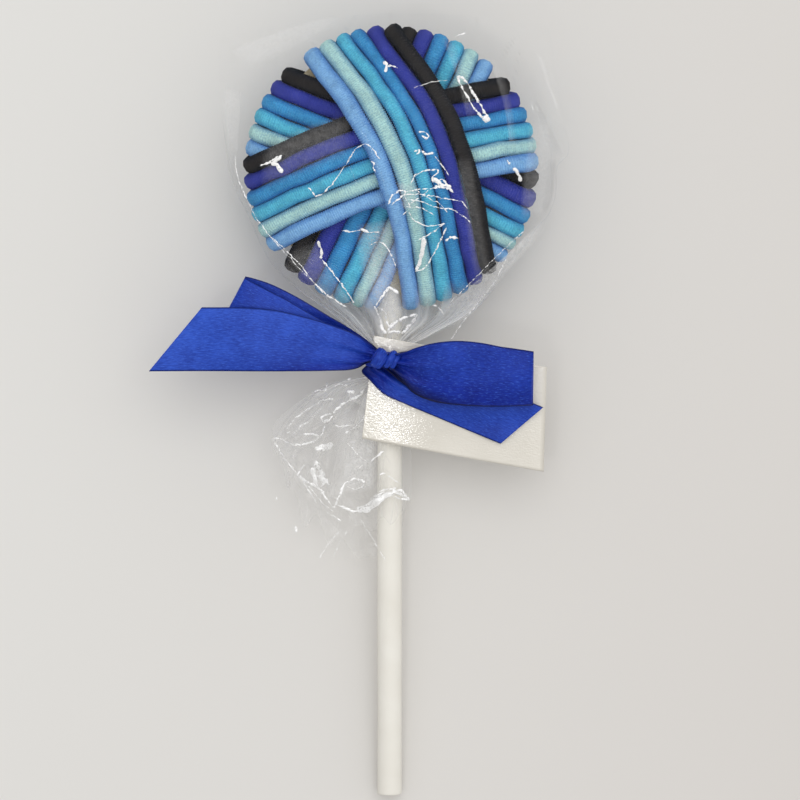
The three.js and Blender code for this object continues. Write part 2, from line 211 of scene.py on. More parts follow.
def smooth_curve(points, count):
    """count evenly spaced points on a curve through the given ones, by cubic pieces between them."""
    points = np.asarray(points, float)
    knots = np.concatenate([[0], np.cumsum(np.linalg.norm(np.diff(points, axis=0), axis=1) ** 0.5)])
    slopes = np.gradient(points, knots, axis=0)
    at = np.linspace(0, knots[-1], SAMPLES_A_KNOT * len(points))
    span = np.clip(np.searchsorted(knots, at, side="right") - 1, 0, len(points) - 2)
    width = (knots[span + 1] - knots[span])[:, None]
    t = (at - knots[span])[:, None] / width
    curve = (
        points[span] * (2 * t**3 - 3 * t**2 + 1)
        + slopes[span] * width * (t**3 - 2 * t**2 + t)
        + points[span + 1] * (3 * t**2 - 2 * t**3)
        + slopes[span + 1] * width * (t**3 - t**2)
    )
    return resample(curve, count)


def wander(count, knots, size, loop=False):
    """Seeded noise: count numbers, run straight between as many random ones as knots says."""
    values = rng.normal(0, size, knots)
    if loop:
        values[-1] = values[0]
    return np.interp(np.linspace(0, knots - 1, count), np.arange(knots), values)


def blur(values, sigma, loop=False):
    """A Gaussian blur along the first axis, sigma in samples."""
    reach = int(math.ceil(3 * sigma))
    weights = np.exp(-0.5 * (np.arange(-reach, reach + 1) / sigma) ** 2)
    weights /= weights.sum()
    margins = [(reach, reach)] + [(0, 0)] * (values.ndim - 1)
    padded = np.pad(values, margins, mode="wrap" if loop else "edge")
    return sum(w * padded[i : i + len(values)] for i, w in enumerate(weights))


# ---- materials


class Nodes:
    """A node material under construction."""

    def __init__(self, name):
        self.material = bpy.data.materials.new(name)
        self.material.use_nodes = True
        self.tree = self.material.node_tree
        self.tree.nodes.clear()
        self.output = self.add("ShaderNodeOutputMaterial")
        self.place = self.add("ShaderNodeTexCoord").outputs["Object"]

    def add(self, kind, settings=None, **sockets):
        """A node with settings on itself and a value or a link on each named input."""
        node = self.tree.nodes.new(kind)
        for key, value in (settings or {}).items():
            setattr(node, key, value)
        for key, value in sockets.items():
            name = key.replace("_", " ")
            socket = node.inputs[int(key[1:])] if key[1:].isdigit() else node.inputs[name]
            if isinstance(value, bpy.types.NodeSocket):
                self.tree.links.new(value, socket)
            else:
                socket.default_value = value
        return node

    def noise(self, scale, detail, roughness=0.55, vector=None):
        """Soft noise with scale spots to the metre, or to the unit of the vector given."""
        settings = {"Vector": vector or self.place, "Scale": scale, "Detail": detail, "Roughness": roughness}
        return self.add("ShaderNodeTexNoise", **settings).outputs["Fac"]

    def stretched(self, scale):
        """The place scaled by a different number along each axis."""
        return self.add("ShaderNodeMapping", Vector=self.place, Scale=scale).outputs["Vector"]

    def ramp(self, value, low, high, out_low=0.0, out_high=1.0):
        """The value run from low..high to out_low..out_high, and held at the ends."""
        limits = {"From Min": low, "From Max": high, "To Min": out_low, "To Max": out_high}
        return self.add("ShaderNodeMapRange", Value=value, **limits).outputs["Result"]

    def maths(self, operation, a, b=0.0):
        """One operation on two numbers."""
        return self.add("ShaderNodeMath", {"operation": operation}, s0=a, s1=b).outputs[0]

    def attribute(self, name):
        """A number that the mesh holds for each point."""
        return self.add("ShaderNodeAttribute", {"attribute_name": name}).outputs["Fac"]

    def blend(self, share, a, b):
        """Colour a, going to colour b as share goes to 1."""
        a, b = (colour if isinstance(colour, bpy.types.NodeSocket) else (*colour, 1) for colour in (a, b))
        return self.add("ShaderNodeMix", {"data_type": "RGBA"}, s0=share, s6=a, s7=b).outputs[2]

    def bump(self, height, strength, distance):
        """A normal from a height, with the distance in metres."""
        bump = self.add("ShaderNodeBump", Height=height, Strength=strength, Distance=distance)
        return bump.outputs["Normal"]

    def mixed(self, share, first, second):
        """The first shader, going to the second as share goes to 1."""
        return self.add("ShaderNodeMixShader", s0=share, s1=first.outputs[0], s2=second.outputs[0])

    def finish(self, shader):
        """The material, with this shader as its surface."""
        self.tree.links.new(shader.outputs[0], self.output.inputs["Surface"])
        return self.material

    def plain(self, **sockets):
        """The material, with one principled shader as its surface."""
        return self.finish(self.add("ShaderNodeBsdfPrincipled", **sockets))


def scaled(colour, *factors):
    """A colour with its channels multiplied by one factor, or each by its own, and held to 1."""
    factors = factors if len(factors) == 3 else factors * 3
    return tuple(min(1.0, channel * factor) for channel, factor in zip(colour, factors))


def tie_material(name, colour, fuzz):
    """Ribbed knitted elastic, fuzzy, with pale and dark fibres at random. Painted shade darkens its flanks
    and the grooves between its ribs.
    """
    n = Nodes(name)
    # deep is the colour of the painted shade on the flanks and of the dark fibres.
    deep = scaled(colour, 0.28, 0.45, 0.75)
    # The colour of the painted shade in the grooves between the ribs.
    between = scaled(colour, 0.45, 0.56, 0.78)
    uneven = n.ramp(n.noise(250, 4, 0.75), 0.3, 0.7)
    dyed = n.blend(uneven, scaled(colour, 0.8), scaled(colour, 1.2))
    # Painted shade: the flanks of each tie, where neighbouring ties meet, go towards the deep colour.
    flank_shade = n.ramp(n.attribute("flank_shade"), 0.35, 1.0, 0.0, 0.9)
    shaded = n.blend(flank_shade, dyed, deep)
    # Painted shade in the groove of each rib, patchy along the tie.
    patchy = n.ramp(n.noise(420, 2), 0.35, 0.65, 0.15, 0.75)
    groove_shade = n.maths("MULTIPLY", n.ramp(n.attribute("groove"), 0.0, 1.0, 0.0, 0.95), patchy)
    ribbed = n.blend(groove_shade, shaded, between)
    fibres = n.noise(2300, 3, 0.8)
    pale = n.blend(n.ramp(fibres, 0.5, 0.7, 0.0, fuzz), ribbed, scaled(colour, 1.4))
    fuzzy = n.blend(n.ramp(fibres, 0.5, 0.32, 0.0, fuzz), pale, deep)
    return n.plain(
        Base_Color=fuzzy,
        Roughness=0.88,
        Normal=n.bump(fibres, fuzz, 0.0003),
        Sheen_Weight=0.2 * fuzz,
        Sheen_Roughness=0.5,
        Specular_IOR_Level=0.1,
    )


def card_material():
    """Rough kraft card with darker and lighter fibres."""
    n = Nodes("kraft_card")
    flecks = n.ramp(n.noise(1400, 4, 0.7), 0.35, 0.65)
    colour = n.blend(flecks, (0.36, 0.31, 0.2), (0.5, 0.44, 0.31))
    return n.plain(Base_Color=colour, Roughness=0.9, Normal=n.bump(n.noise(3000, 3), 0.4, 0.0001))


def stick_material():
    """Matt white rolled paper with faint fibres."""
    n = Nodes("stick_paper")
    cloud = n.ramp(n.noise(90, 3), 0.3, 0.7)
    colour = n.blend(cloud, (0.795, 0.77, 0.705), (0.84, 0.82, 0.76))
    fibres = n.bump(n.noise(1800, 4, 0.65, n.stretched((1.0, 0.3, 1.0))), 0.25, 0.00008)
    return n.plain(Base_Color=colour, Roughness=0.62, Normal=fibres, Specular_IOR_Level=0.35)


def satin_material():
    """Royal blue satin: long floats along the ribbon, with painted sheen in light streaks. It is darker
    at the two selvedges, on its matt back and where painted shade lies, which goes near black in the
    crevices at the knot. The mesh says how far a point is along and across the ribbon, in millimetres,
    and how much of the matt back and of the painted shade darkens it."""
    n = Nodes("blue_satin")
    along, across = n.attribute("along"), n.attribute("across")

    def threads(along_scale, across_scale, layer, detail, roughness):
        """Noise drawn out along the ribbon."""
        scaled_along = n.maths("MULTIPLY", along, along_scale)
        scaled_across = n.maths("MULTIPLY", across, across_scale)
        place = n.add("ShaderNodeCombineXYZ", X=scaled_along, Y=scaled_across, Z=layer).outputs[0]
        return n.noise(1.0, detail, roughness, place)

    floats = threads(0.6, 3.4, 0.0, 3, 0.65)
    cloud = n.ramp(n.noise(90, 2), 0.35, 0.65, -0.11, 0.12)
    uneven = n.ramp(n.maths("ADD", floats, cloud), 0.34, 0.7)
    body = n.blend(uneven, (0.012, 0.047, 0.37), (0.032, 0.103, 0.61))
    # The dark colour both of the matt back and of the painted shade.
    dull_and_shade = n.blend(uneven, (0.002, 0.011, 0.2), (0.007, 0.03, 0.36))
    # Painted sheen: light streaks along the floats.
    sheen_dashes = n.ramp(threads(0.8, 4.5, 7.0, 2, 0.6), 0.56, 0.7, 0.0, 0.6)
    toned = n.blend(sheen_dashes, n.blend(n.attribute("dull_and_shade"), body, dull_and_shade), (0.06, 0.16, 0.72))
    from_middle = n.maths("ABSOLUTE", n.maths("SUBTRACT", across, RIBBON_WIDTH / 2))
    selvedge = n.ramp(from_middle, RIBBON_WIDTH / 2 - 0.5, RIBBON_WIDTH / 2 - 0.2, 0.0, 0.8)
    # Painted shade: past 1.25 the number darkens the satin towards near black, for the crevices at the knot.
    crevice_shade = n.ramp(n.attribute("dull_and_shade"), 1.25, 2.3, 0.0, 0.92)
    colour = n.blend(crevice_shade, n.blend(selvedge, toned, (0.004, 0.01, 0.11)), (0.001, 0.002, 0.03))
    return n.plain(
        Base_Color=colour,
        Roughness=n.ramp(floats, 0.2, 0.8, 0.34, 0.5),
        Normal=n.bump(floats, 0.35, 0.00015),
        Specular_IOR_Level=0.16,
    )


def tag_material():
    """Cream card with a pearl coat and a fine linen emboss."""
    n = Nodes("pearl_card")
    tint = n.ramp(n.noise(70, 2), 0.35, 0.65)
    linen = n.noise(2200, 1, 0.6, n.stretched((0.5, 1.2, 1.0)))
    pearl = n.maths("ADD", linen, n.maths("MULTIPLY", n.noise(3200, 0, 0.5), 0.4))
    return n.plain(
        Base_Color=n.blend(tint, (0.68, 0.645, 0.57), (0.75, 0.715, 0.64)),
        Roughness=0.5,
        Normal=n.bump(pearl, 1.0, 0.00007),
        Specular_IOR_Level=0.5,
        Coat_Weight=0.9,
        Coat_Roughness=0.12,
        Coat_IOR=1.9,
        Coat_Normal=n.bump(pearl, 1.0, 0.000036),
    )


FILM_WHITE = (0.95, 0.95, 0.95, 1)
SLANT_POWER = 3.4
LIT_THROUGH = 0.35


def film_material(name, gloss, haze, roughness, tint, shade):
    """Clear film: see-through face on, and darker, whiter and more of a mirror at a slant. gloss and haze
    hold the share face on and at the steepest slant, and the mesh's gathers add to the haze."""
    n = Nodes(name)
    facing = n.add("ShaderNodeLayerWeight", Blend=0.5).outputs["Facing"]
    slant = n.maths("POWER", facing, SLANT_POWER)
    mirror = n.ramp(slant, 0.0, 1.0, *gloss)
    hazy = n.maths("ADD", n.ramp(slant, 0.0, 1.0, *haze), n.attribute("gathers"))
    clear = n.add("ShaderNodeBsdfTransparent", Color=n.blend(slant, tint, shade))
    glossy = n.add("ShaderNodeBsdfGlossy", Color=(1, 1, 1, 1), Roughness=roughness)
    lit = n.add("ShaderNodeBsdfDiffuse", Color=FILM_WHITE)
    lit_through = n.add("ShaderNodeBsdfTranslucent", Color=FILM_WHITE)
    film = n.mixed(mirror, clear, glossy)
    return n.finish(n.mixed(hazy, film, n.mixed(LIT_THROUGH, lit, lit_through)))


def crease_material():
    """Film that is creased sharply: white partly from the strain and partly as painted glints, bright in
    every light, in broken dots, which the mesh's solid number closes up."""
    n = Nodes("creased_film")
    clear = n.add("ShaderNodeBsdfTransparent", Color=(1, 1, 1, 1))
    glossy = n.add("ShaderNodeBsdfGlossy", Color=(1, 1, 1, 1), Roughness=0.25)
    white = n.add("ShaderNodeBsdfDiffuse", Color=(0.98, 0.98, 0.98, 1))
    dots = n.maths("ADD", n.noise(2300, 2), n.maths("MULTIPLY", n.attribute("solid"), 0.16))
    broken = n.ramp(dots, 0.47, 0.56, 0.06, 1.0)
    return n.finish(n.mixed(broken, clear, n.mixed(0.2, white, glossy)))


def veil_material(name):
    """Film folded double or at a slant: a soft white haze, partly painted light, and a soft painted shade,
    each as strong as the mesh says.
    """
    n = Nodes(name)
    # Painted shade: the transparent tint goes dark as the shade number grows.
    tint = n.blend(n.attribute("shade"), (1, 1, 1), (0.3, 0.31, 0.33))
    clear = n.add("ShaderNodeBsdfTransparent", Color=tint)
    white = n.add("ShaderNodeBsdfDiffuse", Color=FILM_WHITE)
    uneven = n.ramp(n.noise(900, 3, 0.7), 0.3, 0.7, 0.5, 1.3)
    return n.finish(n.mixed(n.maths("MULTIPLY", n.attribute("haze"), uneven), clear, white))


# ---- hair ties

TIE_COLOURS = {
    "periwinkle": (0.23, 0.46, 0.76),
    "mint": (0.43, 0.68, 0.66),
    "turquoise": (0.11, 0.5, 0.68),
    "azure": (0.06, 0.305, 0.59),
    "indigo": (0.045, 0.058, 0.33),
    "black": (0.025, 0.023, 0.023),
}
FUZZ = 0.5
BLACK_FUZZ = 0.12

# Four bundles cross on each face, lowest first, with one tie of each colour side by side. start and
# end are the degrees where the first tie turns round the rim, with the step to the next, and bow is how
# far the first tie's middle lies to the left of a straight line, with the step to the next. leads and
# turns move each tie's start and end further round the rim, shifts moves its middle further left, and
# leans moves its first half left and its second half right.
BUNDLES = {
    "lowest": {
        "start": (49.0, 6.8),
        "end": (259.6, -7.3),
        "bow": (0.0, 0.0),
        "turns": [2.0, 4.4, 4.7, 4.0, 2.8, 2.0],
    },
    "lower": {
        "start": (171.2, -6.8),
        "end": (-37.4, 6.8),
        "bow": (1.4, 0.0),
        "turns": [-1.1, -2.2, -3.3, -2.9, -3.2, -0.8],
    },
    "upper": {
        "start": (213.2, -6.9),
        "end": (2.6, 6.9),
        "bow": (4.0, -0.1),
        "turns": [0.6, 0.7, -0.1, 0.2, -0.4, 0.0],
    },
    "top": {
        "start": (125.6, -7.3),
        "end": (-82.2, 7.1),
        "bow": (5.6, -0.25),
        "leads": [-1.0, -2.0, -1.2, 0.0, 0.5, 0.5],
        "shifts": [0.6, 0.9, 1.5, 1.1, 0.7, 0.8],
        "leans": [0.3, 0.5, 0.6, 0.7, 0.6, 0.6],
    },
}
UNMOVED = [0] * len(TIE_COLOURS)


def rim_point(degrees):
    """The place on the circle where the ties turn over to the back."""
    angle = math.radians(degrees)
    return np.array([RIM * math.cos(angle), RIM * math.sin(angle)])


def tie_plan(bundle, index):
    """A tie's plan on one face and its sideways directions: a shallow arc between two rim points."""
    start, end, bow = (bundle[key][0] + index * bundle[key][1] for key in ("start", "end", "bow"))
    lead, turn, shift, lean = (
        bundle.get(key, UNMOVED)[index] for key in ("leads", "turns", "shifts", "leans")
    )
    start, end = rim_point(start + lead), rim_point(end + turn)
    along = unit(end - start)
    left = np.array([-along[1], along[0]])
    control = (start + end) / 2 + 2 * bow * left
    t = (1 - np.cos(np.linspace(0, math.pi, TIE_SAMPLES + 1)))[:, None] / 2
    plan = (1 - t) ** 2 * start + 2 * t * (1 - t) * control + t**2 * end
    plan += shift * np.sin(math.pi * t) ** 2 * left
    plan += lean * np.sin(2 * math.pi * t) * left
    tangent = unit(np.gradient(plan, axis=0))
    return plan, np.stack([-tangent[:, 1], tangent[:, 0]], axis=1)


def rest_heights(plan, beneath):
    """The least heights of a tie's middle that clear the disc and the ties beneath."""
    past = np.maximum(0, np.linalg.norm(plan, axis=1) - EDGE_CIRCLE)
    heights = np.sqrt(np.maximum(0, WRAP**2 - past**2))
    if len(beneath):
        apart = np.linalg.norm(plan[:, None] - beneath[None, :, :2], axis=2) / TIE_STEP
        over = beneath[None, :, 2] + TIE_RISE * np.sqrt(np.maximum(0, 1 - apart**2))
        heights = np.maximum(heights, np.where(apart < 1, over, 0).max(axis=1))
    heights[[0, -1]] = 0
    return heights


def pulled_taut(travel, heights):
    """Heights raised to a taut line over them, which is their upper hull."""
    touched = []
    for i in range(len(travel)):
        while len(touched) > 1:
            a, b = touched[-2:]
            rise_b = (heights[b] - heights[a]) * (travel[i] - travel[a])
            rise_i = (heights[i] - heights[a]) * (travel[b] - travel[a])
            if rise_b > rise_i:
                break
            touched.pop()
        touched.append(i)
    return np.interp(travel, travel[touched], heights[touched])


def front_paths():
    """Each tie's middle line on the front face with its sideways directions, by name, lowest first."""
    paths = {}
    beneath = np.zeros((0, 3))
    for name, bundle in BUNDLES.items():
        laid = []
        for index, colour in enumerate(TIE_COLOURS):
            plan, left = tie_plan(bundle, index)
            heights = pulled_taut(travelled(plan), rest_heights(plan, beneath))
            laid.append(np.column_stack([plan, heights]))
            drawn = np.column_stack([plan * HEAD_STRETCH + HEAD_SHIFT, heights])
            paths[name, colour] = (drawn, left)
        beneath = np.vstack([beneath, *laid])
    return paths


def half_widths(middle, neighbour):
    """Half of the way to the neighbour's middle line, so that two ties just meet."""
    if neighbour is None:
        return np.full(len(middle), TIE_HALF_WIDTH)
    apart = np.linalg.norm(middle[:, None] - neighbour[None], axis=2).min(axis=1)
    return np.clip(apart / 2, LEAST_HALF_WIDTH, MOST_HALF_WIDTH)


def tie_mesh(middle, left, widths):
    """A ribbed closed loop over the front, round the rim and back behind the disc. widths holds its reach
    to the left and to the right."""
    turned_back = np.array([1, 1, -1])
    loop = np.vstack([middle, middle[-2:0:-1] * turned_back])
    left = np.vstack([left, left[-2:0:-1]])
    widths = np.vstack([widths, widths[-2:0:-1]])
    table = np.column_stack([loop, left, widths])
    table = np.vstack([table, table[:1]])
    travel = travelled(table[:, :3])
    rings = RINGS_A_RIB * int(round(travel[-1] / RIB_PITCH))
    even = np.linspace(0, travel[-1], rings, endpoint=False)
    table = np.stack([np.interp(even, travel, column) for column in table.T], axis=1)
    table = blur(table, 0.9 * RINGS_A_RIB / RIB_PITCH, loop=True)
    centre, left, widths = table[:, :3], table[:, 3:5], table[:, 5:7]
    sideways = unit(np.column_stack([left, np.zeros(rings)]))
    centre = centre + sideways * wander(rings, 34, 0.14, loop=True)[:, None]
    onward = unit(np.roll(centre, -1, axis=0) - np.roll(centre, 1, axis=0))
    out = unit(np.cross(onward, sideways))

    angle = np.linspace(0, 2 * math.pi, TIE_SIDES, endpoint=False)
    slant = RIB_SLANT * np.cos(angle)[None]
    groove = np.cos(2 * math.pi * np.arange(rings)[:, None] / RINGS_A_RIB + slant)
    swell = 1 - RIB_DEPTH * groove + wander(rings, 40, 0.012, loop=True)[:, None]
    reach = np.where(np.cos(angle)[None] > 0, widths[:, :1], widths[:, 1:]) * swell
    lift = TIE_HALF_THICKNESS * swell
    plump_x = signed_power(np.cos(angle), TIE_SQUARENESS)
    plump_z = signed_power(np.sin(angle), TIE_SQUARENESS)
    points = (
        centre[:, None]
        + sideways[:, None] * (reach * plump_x)[..., None]
        + out[:, None] * (lift * plump_z)[..., None]
    )
    # The share of painted shade for each point, most at the sides of the tie.
    flank_shade = np.broadcast_to(np.abs(plump_x)[None], groove.shape)
    numbers = {"groove": np.clip(groove, 0, 1), "flank_shade": flank_shade}
    return points, grid_faces(rings, TIE_SIDES, True, True), numbers


def add_ties(paths):
    """The 24 ties, each as wide as its neighbours in the bundle let it be."""
    materials = {
        colour: tie_material(f"tie_{colour}", value, BLACK_FUZZ if colour == "black" else FUZZ)
        for colour, value in TIE_COLOURS.items()
    }
    colours = list(TIE_COLOURS)
    for (bundle, colour), (middle, left) in paths.items():
        sides = []
        for beside in (colours.index(colour) - 1, colours.index(colour) + 1):
            neighbour = paths[bundle, colours[beside]][0] if 0 <= beside < len(colours) else None
            sides.append(half_widths(middle, neighbour))
        starts_leftmost = BUNDLES[bundle]["start"][1] > 0
        widths = np.stack(sides if starts_leftmost else sides[::-1], axis=1)
        points, faces, numbers = tie_mesh(middle, left, widths)
        node = f"tie_{bundle}_{colour}"
        add_piece(f"hair_{node}", points, faces, materials[colour], node, numbers)


# ---- stick

STICK_SIDES = 48
STICK_ROWS = 150
SEAM_PITCH = 22
SEAM_DEPTH = 0.05

# Radius and way in from the stick's end, from inside the bore to the outside.
STICK_END = [
    (0.01, 1.6), (0.42, 1.6), (0.5, 0.1), (0.62, 0.0),
    (1.6, 0.0), (2.7, 0.02), (2.95, 0.1), (3.05, 0.35),
]


def add_stick():
    """A rolled paper stick: a small bore and a rounded edge at its end, and a faint spiral seam."""
    far_y = STICK_END_Y + STICK_LENGTH
    radius = [r for r, _ in STICK_END] + [STICK_RADIUS] * STICK_ROWS + [STICK_RADIUS - 0.1, 0.01]
    radius = np.array(radius)[:, None]
    end = STICK_END_Y + np.array([y for _, y in STICK_END])
    side = np.linspace(STICK_END_Y + 0.8, far_y - 0.1, STICK_ROWS)
    along = np.concatenate([end, side, [far_y, far_y]])[:, None]
    angle = np.linspace(0, 2 * math.pi, STICK_SIDES, endpoint=False)[None]
    seam = np.mod(angle + along / SEAM_PITCH, 2 * math.pi)
    dent = SEAM_DEPTH * np.exp(-((seam - math.pi) ** 2) / 0.01)
    wavy = 0.02 * np.sin(along / 9 + 1.0) * np.cos(2 * angle)
    reach = radius + np.where(radius >= STICK_RADIUS, wavy - dent, 0)
    y = np.broadcast_to(along, reach.shape)
    points = np.stack([STICK_X + reach * np.cos(angle), y, reach * np.sin(angle)], axis=2)
    faces = grid_faces(len(along), STICK_SIDES, loop_columns=True)
    add_piece("paper_stick", points, faces, stick_material(), "stick")


# ---- film bag

NECK_RADIUS = 4.1
NECK_TOP_Y = -45.6
NECK_BOTTOM_Y = -51.2

# The film lies FILM_SLACK over the ties, level to FILM_REACH beyond a tie's middle line and falling by
# FILM_SLOPE from there. It eases into the flat flange at the bag's edges.
FILM_SLACK = 0.42
FILM_REACH = 2.0
FILM_SLOPE = 0.85
FLANGE = 0.3
FLANGE_EASE = 0.9

# The back is pressed flat on the surface within REST_RADIUS of REST_CENTRE.
REST_CENTRE = (3.0, -4.0)
REST_RADIUS = 11.0

# Gathers are given by their count, depth and sharpness. Those of the head fade out over GATHER_LENGTH, and
# the film's white haze sets in below NECK_HAZE_TOP. The head's two edges are crooked by EDGE_NOISE at
# EDGE_KNOTS places each, and less within EDGE_EASE of the neck.
HEAD_PLEATS = (26, 1.7, 10)
GATHER_LENGTH = 34.0
NECK_HAZE = 0.88
NECK_HAZE_TOP = -27.0
EDGE_EASE = 12.0
EDGE_NOISE = 0.5
EDGE_KNOTS = 14

# The skirt opens out over SKIRT_LENGTH, with a ragged hem. Left of DROOP_X it droops by DROOP times the
# square of the way.
SKIRT_ROOT = (STICK_X, -50.0)
SKIRT_LENGTH = 24.0
SKIRT_PLEATS = (20, 3.4, 6)
HEM_NOISE = 9.0
DROOP_X = -7.0
DROOP = 0.006

# The folds' white lines, partly strain white and partly painted glints: their half width, and the haze of
# the tallest on the head and on the skirt.
FOLD_LINE = 0.18
HEAD_LINE_HAZE = 0.2
SKIRT_LINE_HAZE = 0.24

# The tag lies over the skirt right of TAG_REACH's x and above its y.
TAG_Z = 5.5
TAG_CLEARANCE = 0.6
TAG_REACH = (-11.5, -79.0)

# Sections from the bag's sealed end to the neck: left and right edge, how far the middle is pushed
# towards the sealed end, and how round the section is at its edges.
HEAD_SECTIONS = [
    ((-43, 31.5), (39.2, 34.6), 4.8, 40),
    ((-43.2, 29.6), (39.6, 32.7), 4.9, 40),
    ((-43, 25.5), (40.2, 28), 4.6, 40),
    ((-42.6, 19.5), (40.9, 20.5), 3.6, 40),
    ((-42, 12), (42, 12), 2, 40),
    ((-41.2, 3), (43.4, 3.4), 0.6, 40),
    ((-40.8, -0.5), (40.9, 0.2), 0.3, 40),
    ((-39, -6.5), (40.4, -6.5), 0, 40),
    ((-37.2, -11), (38.6, -11.4), -0.3, 40),
    ((-35, -15.5), (35.2, -15.5), -0.6, 40),
    ((-29.6, -24), (29.9, -24), -1.4, 40),
    ((-22.4, -31), (25.2, -30.5), -2, 36),
    ((-14.4, -37), (18.4, -37), -1.6, 28),
    ((-8.6, -42), (9.4, -42.2), -0.4, 12),
    ((STICK_X - NECK_RADIUS, NECK_TOP_Y), (STICK_X + NECK_RADIUS, NECK_TOP_Y), 0, NECK_RADIUS),
    ((STICK_X - NECK_RADIUS, NECK_BOTTOM_Y), (STICK_X + NECK_RADIUS, NECK_BOTTOM_Y), 0, NECK_RADIUS),
]

# Sections of the gathered mouth below the neck, as above with how far the back's middle is pushed too.
SKIRT_SECTIONS = [
    ((STICK_X - NECK_RADIUS, -47.5), (STICK_X + NECK_RADIUS, -47.5), 0, 0),
    ((STICK_X - NECK_RADIUS, NECK_BOTTOM_Y), (STICK_X + NECK_RADIUS, NECK_BOTTOM_Y), 0, 0),
    ((-15.6, -54.2), (4, -57), -1, -2),
    ((-22, -57.8), (4.4, -65), -3.5, -6),
    ((-27, -62), (4.7, -72), -6, -12),
    ((-29.6, -65.5), (4.8, -79), -9, -18),
    ((-30.2, -68), (4.5, -83.2), -11.5, -22.5),
]


def section_table(sections, rows):
    """The sections' numbers as columns, run smoothly through rows rows. The last number counts less than
    the others for how the rows are spaced."""
    table = np.array([[*left, *right, crown, other] for left, right, crown, other in sections])
    smooth = smooth_curve(table * [1, 1, 1, 1, 1, 0.25], rows) * [1, 1, 1, 1, 1, 4]
    return [column[:, None] for column in smooth.T]


class Cover:
    """Height of the lowest sheet that clears the ties and the stick, over a grid of plan points."""

    CELL = 0.5
    LOW = np.array([-50.0, -60.0])
    HIGH = np.array([50.0, 45.0])
    FARTHEST = 16.0
    FAR_BELOW = -20.0

    def __init__(self, middles):
        count = ((self.HIGH - self.LOW) / self.CELL).astype(int) + 1
        x = self.LOW[0] + self.CELL * np.arange(count[0])
        y = self.LOW[1] + self.CELL * np.arange(count[1])
        stations = np.vstack([middle[::3] for middle in middles])
        height = np.full(count, self.FAR_BELOW)
        for i, across in enumerate(x):
            near = stations[np.abs(stations[:, 0] - across) < self.FARTHEST]
            if len(near):
                apart = np.hypot(across - near[:, 0][None], y[:, None] - near[:, 1][None])
                past = np.maximum(0, apart - FILM_REACH)
                top = near[:, 2][None] + TIE_HALF_THICKNESS + FILM_SLACK
                height[i] = np.maximum(height[i], (top - FILM_SLOPE * past).max(axis=1))
            below = np.maximum(0, y + EDGE_CIRCLE)
            past = np.maximum(0, np.hypot(across - STICK_X, below) - FILM_REACH)
            height[i] = np.maximum(height[i], STICK_RADIUS + FILM_SLACK - FILM_SLOPE * past)
        height = FLANGE + FLANGE_EASE * np.logaddexp(0, (height - FLANGE) / FLANGE_EASE)
        self.height = blur(blur(height, 2.0).T, 2.0).T

    def at(self, x, y):
        """Heights at plan points, bilinear between the grid's."""
        column = np.clip((x - self.LOW[0]) / self.CELL, 0, self.height.shape[0] - 1.001)
        row = np.clip((y - self.LOW[1]) / self.CELL, 0, self.height.shape[1] - 1.001)
        i, j = column.astype(int), row.astype(int)
        u, v = column - i, row - j
        low = self.height[i, j] * (1 - u) + self.height[i + 1, j] * u
        high = self.height[i, j + 1] * (1 - u) + self.height[i + 1, j + 1] * u
        return low * (1 - v) + high * v


def floor_depth(y):
    """Depth of the surface that the lollipop lies on, under the disc's middle plane."""
    return (y * SIN_TILT - FLOOR) / COS_TILT


def fold_height(x, y, folds, white):
    """Summed height of straight folds, each (x, y, x, y, half width, height), sharp along its line, and the
    white haze along their lines, partly painted glints, which is as strong as white for the tallest."""
    total, haze = np.zeros_like(x), np.zeros_like(x)
    tallest = max(abs(fold[5]) for fold in folds)
    for x0, y0, x1, y1, half, height in folds:
        length = math.hypot(x1 - x0, y1 - y0)
        share = ((x - x0) * (x1 - x0) + (y - y0) * (y1 - y0)) / length**2
        off = np.abs((x - x0) * (y1 - y0) - (y - y0) * (x1 - x0)) / length
        ends = np.clip(np.minimum(share, 1 - share) * 5 + 0.35, 0, 1)
        total += height * ends * np.maximum(0, 1 - off / half) ** 1.25
        line = white * abs(height) / tallest * np.clip(ends - 0.35, 0, 1)
        line = line * np.exp(-((off / FOLD_LINE) ** 2))
        haze = np.maximum(haze, line)
    return total, haze


def random_folds(count, low, high, lengths, halves, heights, heading=None, spread=math.pi):
    """Seeded straight folds with their middles between low and high, pointing anywhere or, given a heading,
    away from it to within the spread."""
    folds = []
    for _ in range(count):
        x, y = rng.uniform(low, high)
        angle = rng.uniform(-spread, spread)
        if heading is not None:
            angle += math.atan2(y - heading[1], x - heading[0])
        reach = rng.uniform(*lengths) / 2
        dx, dy = reach * math.cos(angle), reach * math.sin(angle)
        height = rng.uniform(*heights) * rng.choice([-1, 1])
        folds.append((x - dx, y - dy, x + dx, y + dy, rng.uniform(*halves), height))
    return folds


def pleats(angle, count, depth, sharpness):
    """Gathers round a section: seeded sharp ridges at uneven places."""
    total = np.zeros_like(angle)
    for _ in range(count):
        place = rng.uniform(0, 2 * math.pi)
        width = rng.uniform(0.35, 1.0) / sharpness
        off = np.abs(np.angle(np.exp(1j * (angle - place))))
        total += depth * rng.uniform(0.3, 1.0) * np.exp(-off / width)
    return total - total.mean()


def streaks(columns):
    """Uneven shares from 0 to 1, one for each column, for the white lines of gathered film."""
    return np.clip(0.6 + 1.7 * blur(rng.normal(0, 1, columns), 3.4), 0, 1)[None]


